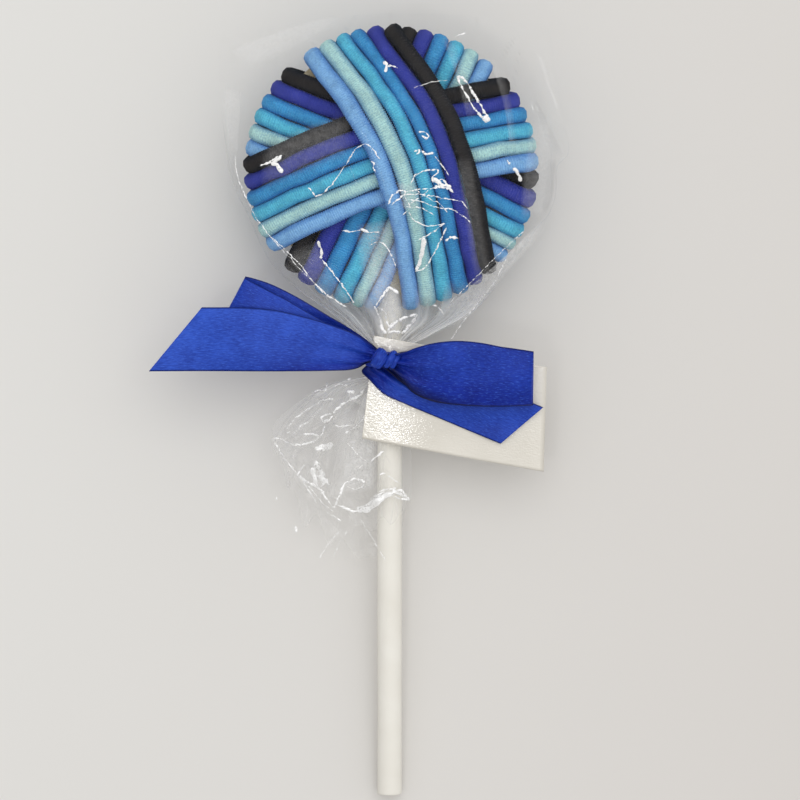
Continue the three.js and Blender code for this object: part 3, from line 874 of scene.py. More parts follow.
def head_film(cover, rows, columns, side, folds, edges):
    """One face of the bag round the head, from its left edge to its right edge. side is 1 for the front and
    -1 for the back, and edges holds how crooked the two edges are."""
    left_x, left_y, right_x, right_y, crown, rounding = section_table(HEAD_SECTIONS, rows)
    angle = np.linspace(0, math.pi, columns)[None]
    share = (1 - np.cos(angle)) / 2
    knots = np.linspace(0, 1, edges.shape[1])
    crooked = [np.interp(np.linspace(0, 1, rows), knots, edge)[:, None] for edge in edges]
    free = np.clip((left_y - NECK_TOP_Y) / EDGE_EASE, 0, 1)
    left_x, right_x = left_x + crooked[0] * free, right_x + crooked[1] * free
    x = left_x + (right_x - left_x) * share
    y = left_y + (right_y - left_y) * share + crown * 4 * share * (1 - share)
    height = cover.at(x, y)
    if side < 0:
        past = np.maximum(0, np.hypot(x - REST_CENTRE[0], y - REST_CENTRE[1]) - REST_RADIUS)
        height = np.minimum(floor_depth(y), np.maximum(height, floor_depth(y) - FILM_SLOPE * past))
    rise = np.minimum(height, np.abs(rounding) * np.sin(angle))
    from_neck = np.clip((y - NECK_TOP_Y) / GATHER_LENGTH, 0, 1)
    gathers = pleats(angle * side, *HEAD_PLEATS) * np.clip(1 - from_neck, 0, 1) ** 2
    gathers = gathers * np.clip(from_neck * 6, 0.3, 1)
    folded, lines = fold_height(x, y, folds, HEAD_LINE_HAZE)
    loose = np.clip(np.sin(angle) * 6, 0, 1)
    rise = rise + loose * (gathers + folded)
    rise[:, [0, -1]] = 0
    white = lines + NECK_HAZE * np.clip((NECK_HAZE_TOP - y) / 12, 0, 1) ** 1.5 * streaks(columns)
    return np.stack([x, y, side * rise], axis=2), {"gathers": white}


def skirt_film(rows, columns, folds):
    """The loose gathered mouth of the bag below the neck, as one tube that is longer behind. It passes over
    the stick, droops to the left and stays under the tag."""
    left_x, left_y, right_x, right_y, front_crown, back_crown = section_table(SKIRT_SECTIONS, rows)
    angle = np.linspace(0, 2 * math.pi, columns, endpoint=False)[None]
    front = np.sin(angle) > 0
    share = (1 - np.cos(angle)) / 2
    spread = np.clip((NECK_BOTTOM_Y - (left_y + right_y) / 2) / SKIRT_LENGTH, 0, 1)
    ragged = blur(rng.normal(0, HEM_NOISE, columns), 5, loop=True)[None]
    crown = np.where(front, front_crown, back_crown)
    x = left_x + (right_x - left_x) * share
    y = left_y + (right_y - left_y) * share + crown * 4 * share * (1 - share) + spread**3 * ragged
    near_stick = np.maximum(0, 1 - np.maximum(0, np.abs(x - STICK_X) - 2.4) / 6)
    cover = FLANGE + (STICK_RADIUS + FILM_SLACK) * near_stick
    rise = np.minimum(cover + 1.6 * spread, NECK_RADIUS + 8 * spread) * np.sin(angle)
    ruffles = pleats(angle, *SKIRT_PLEATS)
    loose = np.clip(np.abs(np.sin(angle)) * 4, 0, 1) * np.clip(spread * 2.2, 0, 1)
    folded, lines = fold_height(x, y, folds, SKIRT_LINE_HAZE)
    height = rise + loose * (ruffles * (0.55 + 0.45 * spread) + folded)
    clear_of_stick = cover * np.clip(near_stick * 2, 0, 1)
    height = np.where(front, np.maximum(height, clear_of_stick - 4 * (near_stick == 0)), height)
    height = np.where(front | (near_stick == 0), height, np.minimum(height, -clear_of_stick))
    droop = DROOP * np.minimum(0, x - DROOP_X) ** 2 * spread
    under_tag = np.clip((x - TAG_REACH[0]) / 3, 0, 1) * np.clip((y - TAG_REACH[1]) / 2, 0, 1)
    highest = TAG_Z - TAG_CLEARANCE + 30 * (1 - under_tag)
    white = lines + NECK_HAZE * np.clip(1.15 - 2.4 * spread, 0, 1) * streaks(columns)
    return np.stack([x, y, np.minimum(height - droop, highest)], axis=2), {"gathers": white}


# Folds on the head, each with its two ends, its half width and its height.
HEAD_FOLDS = [
    (-39.6, 3.2, -37.9, -4.3, 1.6, 0.5),
    (-37.9, -4.3, -32.4, -14.2, 1.8, 0.7),
    (-32.4, -14.2, -26.6, -21.5, 1.8, 0.7),
    (-26.6, -21.5, -12.6, -34.8, 2, 0.8),
    (34.4, -17, 27.6, -20.5, 1.8, 0.7),
    (27.6, -20.5, 14.6, -33.2, 2, 0.8),
    (14.6, -33.2, 4, -43, 1.6, 0.6),
    (15.6, 22.7, 24.1, 11.2, 1.2, 0.35),
    (-21.1, -6, -7.1, 5.8, 1.2, 0.25),
    (-18.4, -18.2, -16.1, -22.8, 1, 0.3),
    (-16.1, -22.8, -9.4, -33.8, 1.3, 0.4),
]

# Creases, white from the strain and as painted glints, each with its width and the points that it runs
# through.
HEAD_CREASES = [
    (0.24, [(-21.1, -5.1), (-19.1, -7.2), (-17.3, -6.6), (-15, -4.1), (-12.1, -0.1), (-9.3, 4.6),
            (-6.8, 6), (-4.7, 4.5), (-3.1, 1.8)]),
    (0.38, [(-5.5, 1.5), (-4.5, 1), (-4.8, -0.2), (-4.1, -1.5)]),
    (0.5, [(-33.3, 0.4), (-30.7, 1.1), (-28.8, 2.7), (-27.5, 3)]),
    (1.1, [(-30.4, 1.1), (-28.8, 0.7), (-27.5, -1.5)]),
    (0.9, [(-30, 0.6), (-28.9, 1.9), (-27.7, 2.7)]),
    (0.9, [(-2.3, 26.4), (-1.3, 25.9), (-1.5, 24.7), (-1.9, 23.4)]),
    (0.33, [(-1.5, 25.1), (-0.3, 25.5), (1.3, 24.7)]),
    (0.46, [(16, 22.9), (17.1, 20.5), (18.6, 17.8), (20.1, 15.2), (21.4, 13.5), (23.2, 11.4)]),
    (0.46, [(16.8, 23), (18.5, 21.5), (19.8, 19.2), (21.3, 16.8), (22.8, 13.9), (24.4, 11.5)]),
    (1.0, [(16.1, 23), (17.1, 22.2)]),
    (1.3, [(22.7, 12.6), (24.1, 11.2)]),
    (0.12, [(5.2, 19.8), (9.9, 21.4), (13.9, 21.8)]),
    (0.33, [(6.5, 8.6), (8, 8.9), (9.2, 7.9), (8.5, 7.1), (7.3, 7.9)]),
    (0.33, [(5.5, 4), (6.7, 4.5), (6.8, 3.5), (5.7, 3.2)]),
    (0.38, [(6.8, 4.3), (8.7, 3.2), (10.4, 3.6)]),
    (0.2, [(10.5, 2.9), (12.9, -0.1), (14.1, -2.2)]),
    (0.24, [(4.5, -4.2), (5.6, -2.1), (8, -0.8), (11.3, -0.5), (11.6, -1.2), (10, -2.4), (10.1, -4.1)]),
    (0.72, [(10, -2.6), (12, -4.1), (14.8, -5.1)]),
    (0.38, [(10.8, -3.4), (12.7, -3), (15.2, -6.5)]),
    (0.38, [(10.5, -4.8), (12.7, -5), (14.9, -5.5)]),
    (0.33, [(-1.1, -9.3), (0, -6.9), (1.9, -5.6), (3.1, -5.8), (3.2, -6.8), (1.5, -8), (-0.4, -9.4)]),
    (0.2, [(3.1, -6.1), (8.5, -5.3), (14, -5)]),
    (0.2, [(3.3, -6.8), (7.9, -6.8), (13.2, -7.8), (17.3, -8.5), (18.9, -10.5)]),
    (0.2, [(3.7, -8), (7.2, -8.5), (11.2, -10.1), (15.2, -10.5), (18.5, -12.8), (19.6, -14.2)]),
    (0.2, [(3.3, -9.7), (7.2, -10.1), (10.5, -12)]),
    (0.2, [(3.9, -10.9), (5.3, -13.4), (9.2, -14.9), (13.3, -14.1)]),
    (0.16, [(9.2, -5.5), (7.2, -7.5), (4.4, -8.9)]),
    (0.16, [(2.8, -6.8), (4.5, -10.1), (2.5, -12.1)]),
    (0.16, [(5.2, -5.5), (8.5, -7.4), (11.6, -8.9), (13.9, -11.4)]),
    (1.0, [(8, -17.5), (7.7, -20.1), (7.1, -23.4), (5.7, -25.8)]),
    (0.24, [(6.5, -18.2), (8, -17.4), (10.7, -15.8), (13.5, -13.8)]),
    (0.28, [(13.5, -14.9), (12.3, -17.5), (10, -22.4), (7.7, -25.5), (5.6, -26)]),
    (0.48, [(13.2, -18.5), (14.4, -17.4), (16.8, -17.8)]),
    (0.28, [(-12.7, -15.8), (-10.8, -16.1), (-8, -15.7), (-5.5, -16.4), (-3.1, -16.1)]),
    (0.72, [(-8, -15.3), (-6, -16.2)]),
    (0.24, [(-5.5, -19.5), (-4, -18.6), (-2.1, -19), (-0.9, -20.6), (0.9, -24.8)]),
    (0.59, [(-18.7, -18.4), (-17.7, -20.8), (-17.9, -23)]),
    (0.28, [(-17.9, -22.8), (-16.1, -24.9), (-14.1, -27.4), (-11.8, -30.5), (-9.5, -34)]),
    (0.7, [(1.6, -31.5), (0.3, -30.7), (-0.8, -30), (-2.2, -31.8), (-4.2, -34.6)]),
    (0.5, [(-4.6, -34.6), (-3.5, -36.8), (-3, -38.4), (-2.6, -40.9)]),
    (0.4, [(-4, -34.9), (-2.3, -35.6), (-1.4, -36.7), (-1.7, -38.2), (-0.6, -40.2)]),
    (0.9, [(-3, -39.2), (-2.4, -40.8), (-1.4, -41.8)]),
    (0.6, [(-1.4, -41.3), (0.2, -39.2), (2.2, -38), (4.8, -37), (6.2, -36.7)]),
    (0.55, [(6.2, -36.7), (5.6, -38.2), (3.9, -39.9), (2.6, -41.5), (0.3, -41), (-1.2, -41.6)]),
    (0.33, [(9.9, -34.4), (11.6, -34.9), (12.8, -36.9)]),
    (0.48, [(28.5, 1.8), (29.6, 0.7)]),
    (0.9, [(30, -0.2), (31.1, -0.9), (32.3, -3.7)]),
    (0.28, [(15.7, 32.6), (16.9, 33.2), (18.4, 33.5)]),
    (0.28, [(34.5, 16.2), (35.1, 14.2)]),
    (0.2, [(36.1, 15), (36.9, 13.5)]),
    (0.2, [(-39.1, 2.9), (-39.3, 0.5), (-38.4, -3.4), (-36.3, -8.2)]),
    (0.14, [(-36.3, -8.2), (-34, -12.9), (-30.4, -17.5), (-26.1, -22.2), (-21.2, -27.4)]),
    (0.3, [(-21.2, -27.4), (-16.1, -32.2), (-11.1, -35.2)]),
    (0.16, [(-30.4, -17.4), (-28.1, -19.4), (-23.5, -23.8), (-18.1, -30.8), (-12.1, -34.6)]),
    (0.13, [(32.9, -15.8), (31.2, -17.5), (27.2, -21.1), (21.9, -26.5), (14.5, -33.8)]),
    (0.2, [(28.5, -22.8), (25.9, -28.2), (18.5, -37.5), (14.5, -43.2)]),
]
SKIRT_CREASES = [
    (0.36, [(-14.6, -54.9), (-13.2, -54.2), (-11.2, -54.5)]),
    (0.36, [(-11.6, -53.1), (-10, -52.6)]),
    (0.69, [(-11.4, -55.9), (-10.3, -56.1), (-9.4, -56)]),
    (0.27, [(-19.8, -56.2), (-18.4, -55.7), (-16.8, -55.9), (-16.2, -53.5)]),
    (0.46, [(-7, -55.5), (-8, -56.9), (-10, -58), (-12.4, -59.2), (-14, -60.5), (-15.1, -61.6)]),
    (0.46, [(-15.1, -61.6), (-16.8, -61.9), (-17.9, -62.6), (-17.4, -63.5), (-15.6, -63.1), (-14.8, -62)]),
    (0.27, [(-26.4, -65.5), (-24.4, -63), (-22, -61), (-19.6, -59.5), (-17.2, -58.1), (-14.3, -57.9)]),
    (0.32, [(-26.5, -66.5), (-25.1, -66.2)]),
    (0.27, [(-24.8, -66.8), (-22.4, -64.2), (-20.8, -63.5)]),
    (0.27, [(-30, -67.8), (-28.7, -67.7), (-27.5, -67.9), (-26.4, -69), (-24, -69.5), (-21.1, -69),
            (-18.8, -68.1), (-17.5, -66.7), (-16.8, -64.5)]),
    (0.23, [(-30, -67.8), (-27.6, -71.8), (-25.1, -75.1), (-23.5, -77.1)]),
    (0.19, [(-23.5, -77.1), (-22, -78.7), (-19.5, -81.5), (-17.1, -84.3), (-14.7, -86.3)]),
    (1.2, [(-19.5, -70.3), (-17.9, -69.8), (-16, -69.4), (-14.7, -69.2)]),
    (0.81, [(-19.2, -70.7), (-17.1, -70.3), (-15.2, -70.1)]),
    (0.69, [(-19.3, -73.4), (-18.1, -75.8), (-17.1, -77.9), (-16.1, -79)]),
    (0.95, [(-20.2, -74.9), (-19.6, -77.1), (-18.9, -80.2)]),
    (0.69, [(-19.5, -77), (-18, -77.5), (-16.8, -78.7), (-18, -79.9)]),
    (0.46, [(-23.5, -77.1), (-21.5, -78.5), (-19.5, -79.5), (-17.9, -80.7), (-16.3, -83.1),
            (-14.7, -85.3)]),
    (0.41, [(-14.7, -85.3), (-13.8, -83.5), (-12.8, -81.1), (-12.3, -79.7), (-11.2, -78.5),
            (-9.6, -77.9), (-7.5, -78.2), (-7, -79)]),
    (0.27, [(-7, -79.1), (-7.6, -80.2), (-9.6, -80.5), (-11.5, -79.8)]),
    (0.36, [(-13.8, -84.5), (-12, -85), (-10, -86), (-8, -85.9)]),
    (1.2, [(-8.3, -85.8), (-6.1, -85.7), (-3.9, -83.8), (-1.9, -82.2), (-0.2, -81.3)]),
    (0.46, [(-0.2, -80.7), (2.4, -80.9), (4.4, -83.3)]),
    (0.27, [(-0.4, -81.9), (1.6, -82.8), (4.4, -83.3)]),
    (0.36, [(-5.6, -73.7), (-4, -72.5), (-2.2, -70.9)]),
    (0.19, [(-11.6, -68.7), (-9.6, -70.7), (-7.5, -73), (-5.9, -73.9)]),
    (0.27, [(-8.4, -75.3), (-7.1, -74.2)]),
    (0.36, [(-14.4, -64.5), (-13.1, -64.9), (-10.8, -64.5), (-9.1, -64.4)]),
    (0.32, [(-11.9, -66.5), (-10, -65.3), (-7.6, -63.3), (-6.7, -61.8)]),
    (0.32, [(-22.4, -66.7), (-19.5, -66.8), (-18.3, -67)]),
    (0.27, [(-24.7, -69.5), (-22.3, -69.3), (-19.5, -68.7)]),
    (0.23, [(-24, -77.1), (-21.9, -74.3), (-21.1, -73.8)]),
    (0.57, [(-24.3, -89.5), (-24, -91.5)]),
    (0.46, [(-29.2, -82.3), (-28.6, -83.1)]),
    (0.12, [(-18.4, -97.7), (-15.6, -93.5), (-12.4, -90.2)]),
    (0.12, [(-14.8, -97.5), (-13, -93.5), (-11.2, -90.7)]),
    (0.12, [(-8, -88.3), (-5.2, -92.2), (-1.6, -98.7)]),
    (0.19, [(-3.6, -76.9), (-2.3, -76.5), (-0.3, -77.5), (2.4, -79.5)]),
    (0.23, [(-22.4, -78.7), (-20, -82.2), (-18.8, -84.2)]),
    (0.23, [(-16.4, -86.2), (-14.4, -87.5), (-12.6, -88.5)]),
]

# Crumpled patches of painted glints, each with a number of short creases and the edges that they lie between.
SKIRT_GLINTS = [
    (64,
     [(-9.8, -86.3), (-6.6, -86.2), (-3.8, -84.7), (-1.6, -82.9), (1, -81.6), (4.3, -83.2)],
     [(-9, -84.9), (-6.9, -84.4), (-4.9, -82.6), (-2.6, -80.8), (1.4, -80.4), (3.9, -82.6)]),
    (24,
     [(-19.8, -70.6), (-17.9, -70.9), (-15.8, -70.2), (-14.4, -69.3)],
     [(-19.4, -69.9), (-17.6, -69.5), (-15.8, -68.9), (-14.6, -68.8)]),
    (38,
     [(-19.6, -73), (-19.9, -75.5), (-19.4, -78), (-18, -80.6)],
     [(-18.7, -73), (-17.4, -75.4), (-16.2, -77.8), (-15.6, -79.6)]),
]

# Where the film is folded double or lies at a slant, with a white haze that is partly painted light and a
# painted shade: how keenly its inner edge shows, the haze and the shade at its inner and at its outer edge,
# and the points of the two edges.
HEAD_VEILS = [
    (4, (0.26, 0), (0.08, 0),
     [(0.6, -3.4), (1.6, -6.4), (2.2, -10.4)],
     [(6.2, -4.2), (6.8, -7.2), (6.6, -11.6)]),
    (4, (0.09, 0), (0.05, 0),
     [(15.6, 3), (17.2, -8), (19, -20), (20.6, -29)],
     [(19.8, 3.6), (21.8, -8), (23.8, -20), (25.6, -29)]),
    (4, (0.11, 0), (0.05, 0),
     [(-33, 4.2), (-26.6, 8), (-19, 11.4), (-11, 13.6)],
     [(-33.4, -6.6), (-25, -3.4), (-16.4, 0.2), (-8.6, 3)]),
    (8, (0.12, 0.02), (0.16, 0.02),
     [(-37.4, 20), (-38, 11), (-38.4, 3)],
     [(-42.4, 20.6), (-42, 11), (-41.2, 3.4)]),
    (8, (0.14, 0), (0.1, 0),
     [(-41.6, 29), (-30, 33.6), (-14, 38.2)],
     [(-36.4, 24), (-26, 28.6), (-13, 36.6)]),
    (40, (0.32, 0), (0.2, 0),
     [(34.6, -15.2), (31.5, -18.8), (26.8, -22.9), (21.8, -27.3), (17.4, -31.3), (13.2, -34.5),
      (10.4, -37.6)],
     [(39.4, -11.4), (36.6, -18), (32.4, -23), (27.8, -28.4), (23.4, -33.2), (18.6, -38.4), (14.8, -42.4)]),
    (5, (0.1, 0), (0.16, 0),
     [(34.2, 12.2), (33.4, 5), (32.4, -2), (32, -8), (31.8, -13.5)],
     [(39.6, 12.8), (40.2, 5), (39.8, -2), (39, -8), (37, -13.5)]),
    (5, (0, 0.02), (0, 0.2),
     [(38.3, 2), (38.2, -2), (37.6, -6.8), (36.6, -11.2)],
     [(41.1, 2.4), (40.9, -2), (40.2, -7.6), (38.6, -11.8)]),
    (5, (0.04, 0.03), (0, 0.12),
     [(34.8, 18), (36.4, 12.4), (38.2, 6.6), (39.6, 2.6)],
     [(35.8, 17.4), (38.8, 11.6), (41.4, 6.4), (43.4, 2.2)]),
    (30, (0.12, 0), (0.08, 0),
     [(-18.6, -17.8), (-17.6, -22.3), (-15, -26.6), (-12.4, -30.3), (-9.6, -34.4)],
     [(-27.4, -21.4), (-25.4, -25.6), (-21.4, -29.8), (-17, -33.6), (-12.6, -37.6)]),
    (3, (0.3, 0), (0.22, 0),
     [(-9.4, -14), (-9, -20), (-8.2, -26), (-7, -33), (-5.8, -39)],
     [(0.6, -12), (1.2, -18), (2.6, -25), (3.6, -33), (4.6, -39)]),
    (4, (0.12, 0), (0.02, 0),
     [(12, 33), (14.2, 27), (16.2, 21), (18.6, 12)],
     [(15.4, 32.4), (17.6, 26.6), (19.8, 20.6), (21.6, 12)]),
    (4, (0.12, 0), (0.02, 0),
     [(23.6, 28.2), (26, 21.4), (28, 14), (29.2, 4)],
     [(26.4, 27.4), (28.6, 21.4), (30.4, 14), (31.4, 4)]),
    (4, (0, 0.08), (0, 0.02),
     [(-40.6, 3.4), (-40.6, -1), (-38.6, -7), (-34.6, -13.8)],
     [(-36.8, 3.4), (-36.8, -1), (-35, -7), (-31.6, -13.8)]),
    (8, (0.12, 0.02), (0.02, 0.02),
     [(-27.2, -22.4), (-21.8, -28.4), (-15.4, -34), (-9.6, -38.4), (-5.6, -43.6)],
     [(-30.2, -24.4), (-24, -31), (-17.4, -36.6), (-11.6, -41), (-6.6, -44.8)]),
]
SKIRT_VEILS = [
    (6, (0.44, 0), (0.14, 0),
     [(-3.9, -60), (-4.1, -70), (-4.4, -81)],
     [(-16, -60), (-15, -70), (-13, -83)]),
    (10, (0.5, 0), (0.4, 0),
     [(-9.8, -86.3), (-6.6, -86.4), (-3.8, -84.9), (-1.6, -83), (1, -81.6)],
     [(-9, -84.9), (-6.9, -84.4), (-4.9, -82.4), (-2.6, -80.6), (1.4, -80.2)]),
    (10, (0.5, 0), (0.3, 0),
     [(1, -81.8), (2.6, -82.6), (4.4, -83.3)],
     [(1, -80.4), (2.8, -81.2), (4.5, -83.1)]),
    (6, (0.3, 0), (0.1, 0),
     [(-12.4, -55), (-11.6, -57.2), (-9.6, -59), (-6.6, -60)],
     [(-9.8, -53), (-8.6, -54.6), (-7, -55.8), (-5.4, -56.2)]),
    (4, (0.22, 0), (0.04, 0),
     [(-26.6, -66), (-22, -62), (-17, -59), (-12, -57)],
     [(-25, -68), (-20, -65), (-15, -62.5), (-10, -60)]),
    (4, (0.26, 0), (0.06, 0),
     [(-16.6, -82.4), (-14.2, -78), (-11.4, -74.6), (-8, -72)],
     [(-13.6, -84.2), (-11, -80.4), (-8.6, -77), (-5.4, -74)]),
]


# The film beneath a point is looked for within BENEATH of it, in the part of the film that reaches MARGIN
# beyond all the points. Creases and veils lie CREASE_LIFT and VEIL_LIFT over it.
BENEATH = 0.9
MARGIN = 2.0
NOWHERE = -99.0
CREASE_LIFT = 0.25
VEIL_LIFT = 0.05
VEIL_GRID = (60, 14)

# A crease has a row of points every CREASE_STEP. CREASE_ACROSS places them across it in shares of its half
# width, and CREASE_ARCH lifts them in shares of CREASE_HEIGHT times that.
CREASE_STEP = 0.12
CREASE_ACROSS = np.array([-1, -0.55, 0, 0.55, 1])
CREASE_ARCH = np.array([0, 0.7, 1, 0.7, 0])
CREASE_HEIGHT = 0.45
STROKE_SAMPLES = 60


def over(surface, plan, lift):
    """Heights just over the highest film near each plan point."""
    low, high = plan.min(axis=0) - MARGIN, plan.max(axis=0) + MARGIN
    beside = np.all((surface[:, :2] > low) & (surface[:, :2] < high), axis=1)
    surface = surface[beside] if beside.any() else surface
    apart = np.linalg.norm(plan[:, None] - surface[None, :, :2], axis=2)
    near = np.where(apart < BENEATH, surface[None, :, 2], NOWHERE).max(axis=1)
    return np.where(near > NOWHERE, near, surface[apart.argmin(axis=1), 2]) + lift


def laid_on(surface, plan, lift):
    """Plan points moved so that the camera sees them where plan has them on the film, and their heights."""
    height = over(surface, plan, lift)
    moved = seen(np.column_stack([plan, blur(height, 3)]))[:, :2]
    return moved, over(surface, moved, lift)


def crease_strip(width, points, surface):
    """A small ridge of uneven width along a crease, lying on the highest film beneath it."""
    points = np.array(points)
    length = travelled(points)[-1]
    rows = max(8, int(length / CREASE_STEP))
    path = blur(resample(points, rows), 2.0)
    path = path + np.column_stack([wander(rows, max(3, rows // 5), 0.08) for _ in range(2)])
    path, height = laid_on(surface, path, CREASE_LIFT)
    height = blur(height, 3)
    from_end = np.minimum(np.linspace(0, 1, rows), np.linspace(1, 0, rows))
    taper = np.clip(from_end * length / 0.5 + 0.1, 0, 1)
    knots, unevenness = (rows // 3, 0.6) if width < 0.7 else (rows // 6, 0.3)
    half = 0.5 * width * taper * np.clip(1 + wander(rows, max(3, knots), unevenness), 0.2, 1.8)
    along = unit(np.gradient(path, axis=0))
    side = np.column_stack([-along[:, 1], along[:, 0]])
    plan = path[:, None] + side[:, None] * (CREASE_ACROSS[None, :, None] * half[:, None, None])
    lift = height[:, None] + CREASE_HEIGHT * half[:, None] * CREASE_ARCH[None]
    return np.dstack([plan, lift]), grid_faces(rows, len(CREASE_ACROSS))[:, ::-1]


def strokes(count, inner, outer):
    """Seeded short creases side by side between an inner and an outer edge, for a patch of crumpled film."""
    first, last = smooth_curve(inner, STROKE_SAMPLES), smooth_curve(outer, STROKE_SAMPLES)
    laid = []
    for _ in range(count):
        share, start = rng.uniform(0, 1), rng.integers(0, 42)
        stop = min(STROKE_SAMPLES, start + rng.integers(7, 18))
        points = (first * (1 - share) + last * share)[start:stop:3]
        laid.append((rng.uniform(0.08, 0.26), points + rng.normal(0, 0.12, points.shape)))
    return laid


def add_creases(name, creases, surface, material):
    """One piece of all these creases. A wide crease is more solid than a narrow one."""
    strips = [crease_strip(width, points, surface) for width, points in creases]
    points, faces = joined(strips)
    solid = [
        np.full(strip[0].size // 3, min(1.0, 0.35 + width)) for strip, (width, _) in zip(strips, creases)
    ]
    add_piece(name, points, faces, material, "bag", {"solid": np.concatenate(solid)})


def add_veils(name, veils, surface):
    """Soft patches of doubled film, with painted light and shade, each between an inner and an outer edge."""
    rows, columns = VEIL_GRID
    parts, haze, shade = [], [], []
    share = np.linspace(0, 1, columns)[None]
    ends = np.clip(np.sin(np.linspace(0, math.pi, rows)) * 2.5, 0, 1)[:, None]
    for keen, at_inner, at_outer, inner, outer in veils:
        first, last = smooth_curve(inner, rows), smooth_curve(outer, rows)
        plan = first[:, None] * (1 - share[..., None]) + last[:, None] * share[..., None]
        plan, height = laid_on(surface, plan.reshape(-1, 2), VEIL_LIFT)
        plan, height = plan.reshape(rows, columns, 2), height.reshape(rows, columns)
        parts.append((np.dstack([blur(plan, 2), blur(height, 2)]), grid_faces(rows, columns)[:, ::-1]))
        soft = ends * np.clip((1 - share) * 4, 0, 1) * np.clip(share * keen + 0.02, 0, 1)
        haze.append((soft * (at_inner[0] * (1 - share) + at_outer[0] * share)).ravel())
        shade.append((soft * (at_inner[1] * (1 - share) + at_outer[1] * share)).ravel())
    points, faces = joined(parts)
    numbers = {"haze": np.concatenate(haze), "shade": np.concatenate(shade)}
    add_piece(name, points, faces, veil_material(name), "bag", numbers)


# Rows and columns of the sheets, and the corners of the plan that their random folds lie in.
FRONT_GRID = (250, 330)
BACK_GRID = (120, 130)
SKIRT_GRID = (150, 380)
HEAD_AREA = ((-40, -36), (40, 34))
SKIRT_AREA = ((-30, -97), (3, -55))


def add_film(paths):
    """The film's front, back and skirt, and the creases and veils that lie on them."""
    cover = Cover([middle for middle, _ in paths.values()])
    clear = film_material(
        "clear_film", (0.004, 0.1), (0.003, 0.12), 0.07, (0.999, 0.999, 0.999), (0.98, 0.981, 0.983)
    )
    gathered = film_material("gathered_film", (0.025, 0.12), (0.09, 0.6), 0.12, (1, 1, 1), (1, 1, 1))
    edges = rng.normal(0, EDGE_NOISE, (2, EDGE_KNOTS))
    front_folds = HEAD_FOLDS + random_folds(50, *HEAD_AREA, (6, 26), (1.6, 4.5), (0.03, 0.1))
    front, front_haze = head_film(cover, *FRONT_GRID, 1, front_folds, edges)
    back_folds = random_folds(40, *HEAD_AREA, (8, 26), (2, 5), (0.05, 0.25))
    back, back_haze = head_film(cover, *BACK_GRID, -1, back_folds, edges)
    long_folds = random_folds(24, *SKIRT_AREA, (12, 28), (1.8, 4.4), (0.5, 1.5), SKIRT_ROOT, 0.35)
    short_folds = random_folds(50, *SKIRT_AREA, (5, 16), (1.4, 3.2), (0.3, 1.1))
    skirt, skirt_haze = skirt_film(*SKIRT_GRID, long_folds + short_folds)
    skirt_faces = grid_faces(*SKIRT_GRID, loop_columns=True)[:, ::-1]
    add_piece("film_front", front, grid_faces(*FRONT_GRID)[:, ::-1], clear, "bag", front_haze)
    add_piece("film_back", back, grid_faces(*BACK_GRID), clear, "bag", back_haze)
    add_piece("film_skirt", skirt, skirt_faces, gathered, "bag", skirt_haze)

    creased = crease_material()
    head_top = front[::2].reshape(-1, 3)
    skirt_top = skirt[::2, : SKIRT_GRID[1] // 2].reshape(-1, 3)
    add_creases("film_head_creases", HEAD_CREASES, head_top, creased)
    glints = [stroke for patch in SKIRT_GLINTS for stroke in strokes(*patch)]
    add_creases("film_skirt_creases", SKIRT_CREASES + glints, skirt_top, creased)
    add_veils("film_veils", HEAD_VEILS, head_top)
    add_veils("film_skirt_veils", SKIRT_VEILS, skirt_top)


# ---- satin ribbon

STRIP_GRID = (120, 28)
ROLL_GRID = (60, 96)
KNOT_CENTRE = np.array([-2.4, -48.3, 8.6])
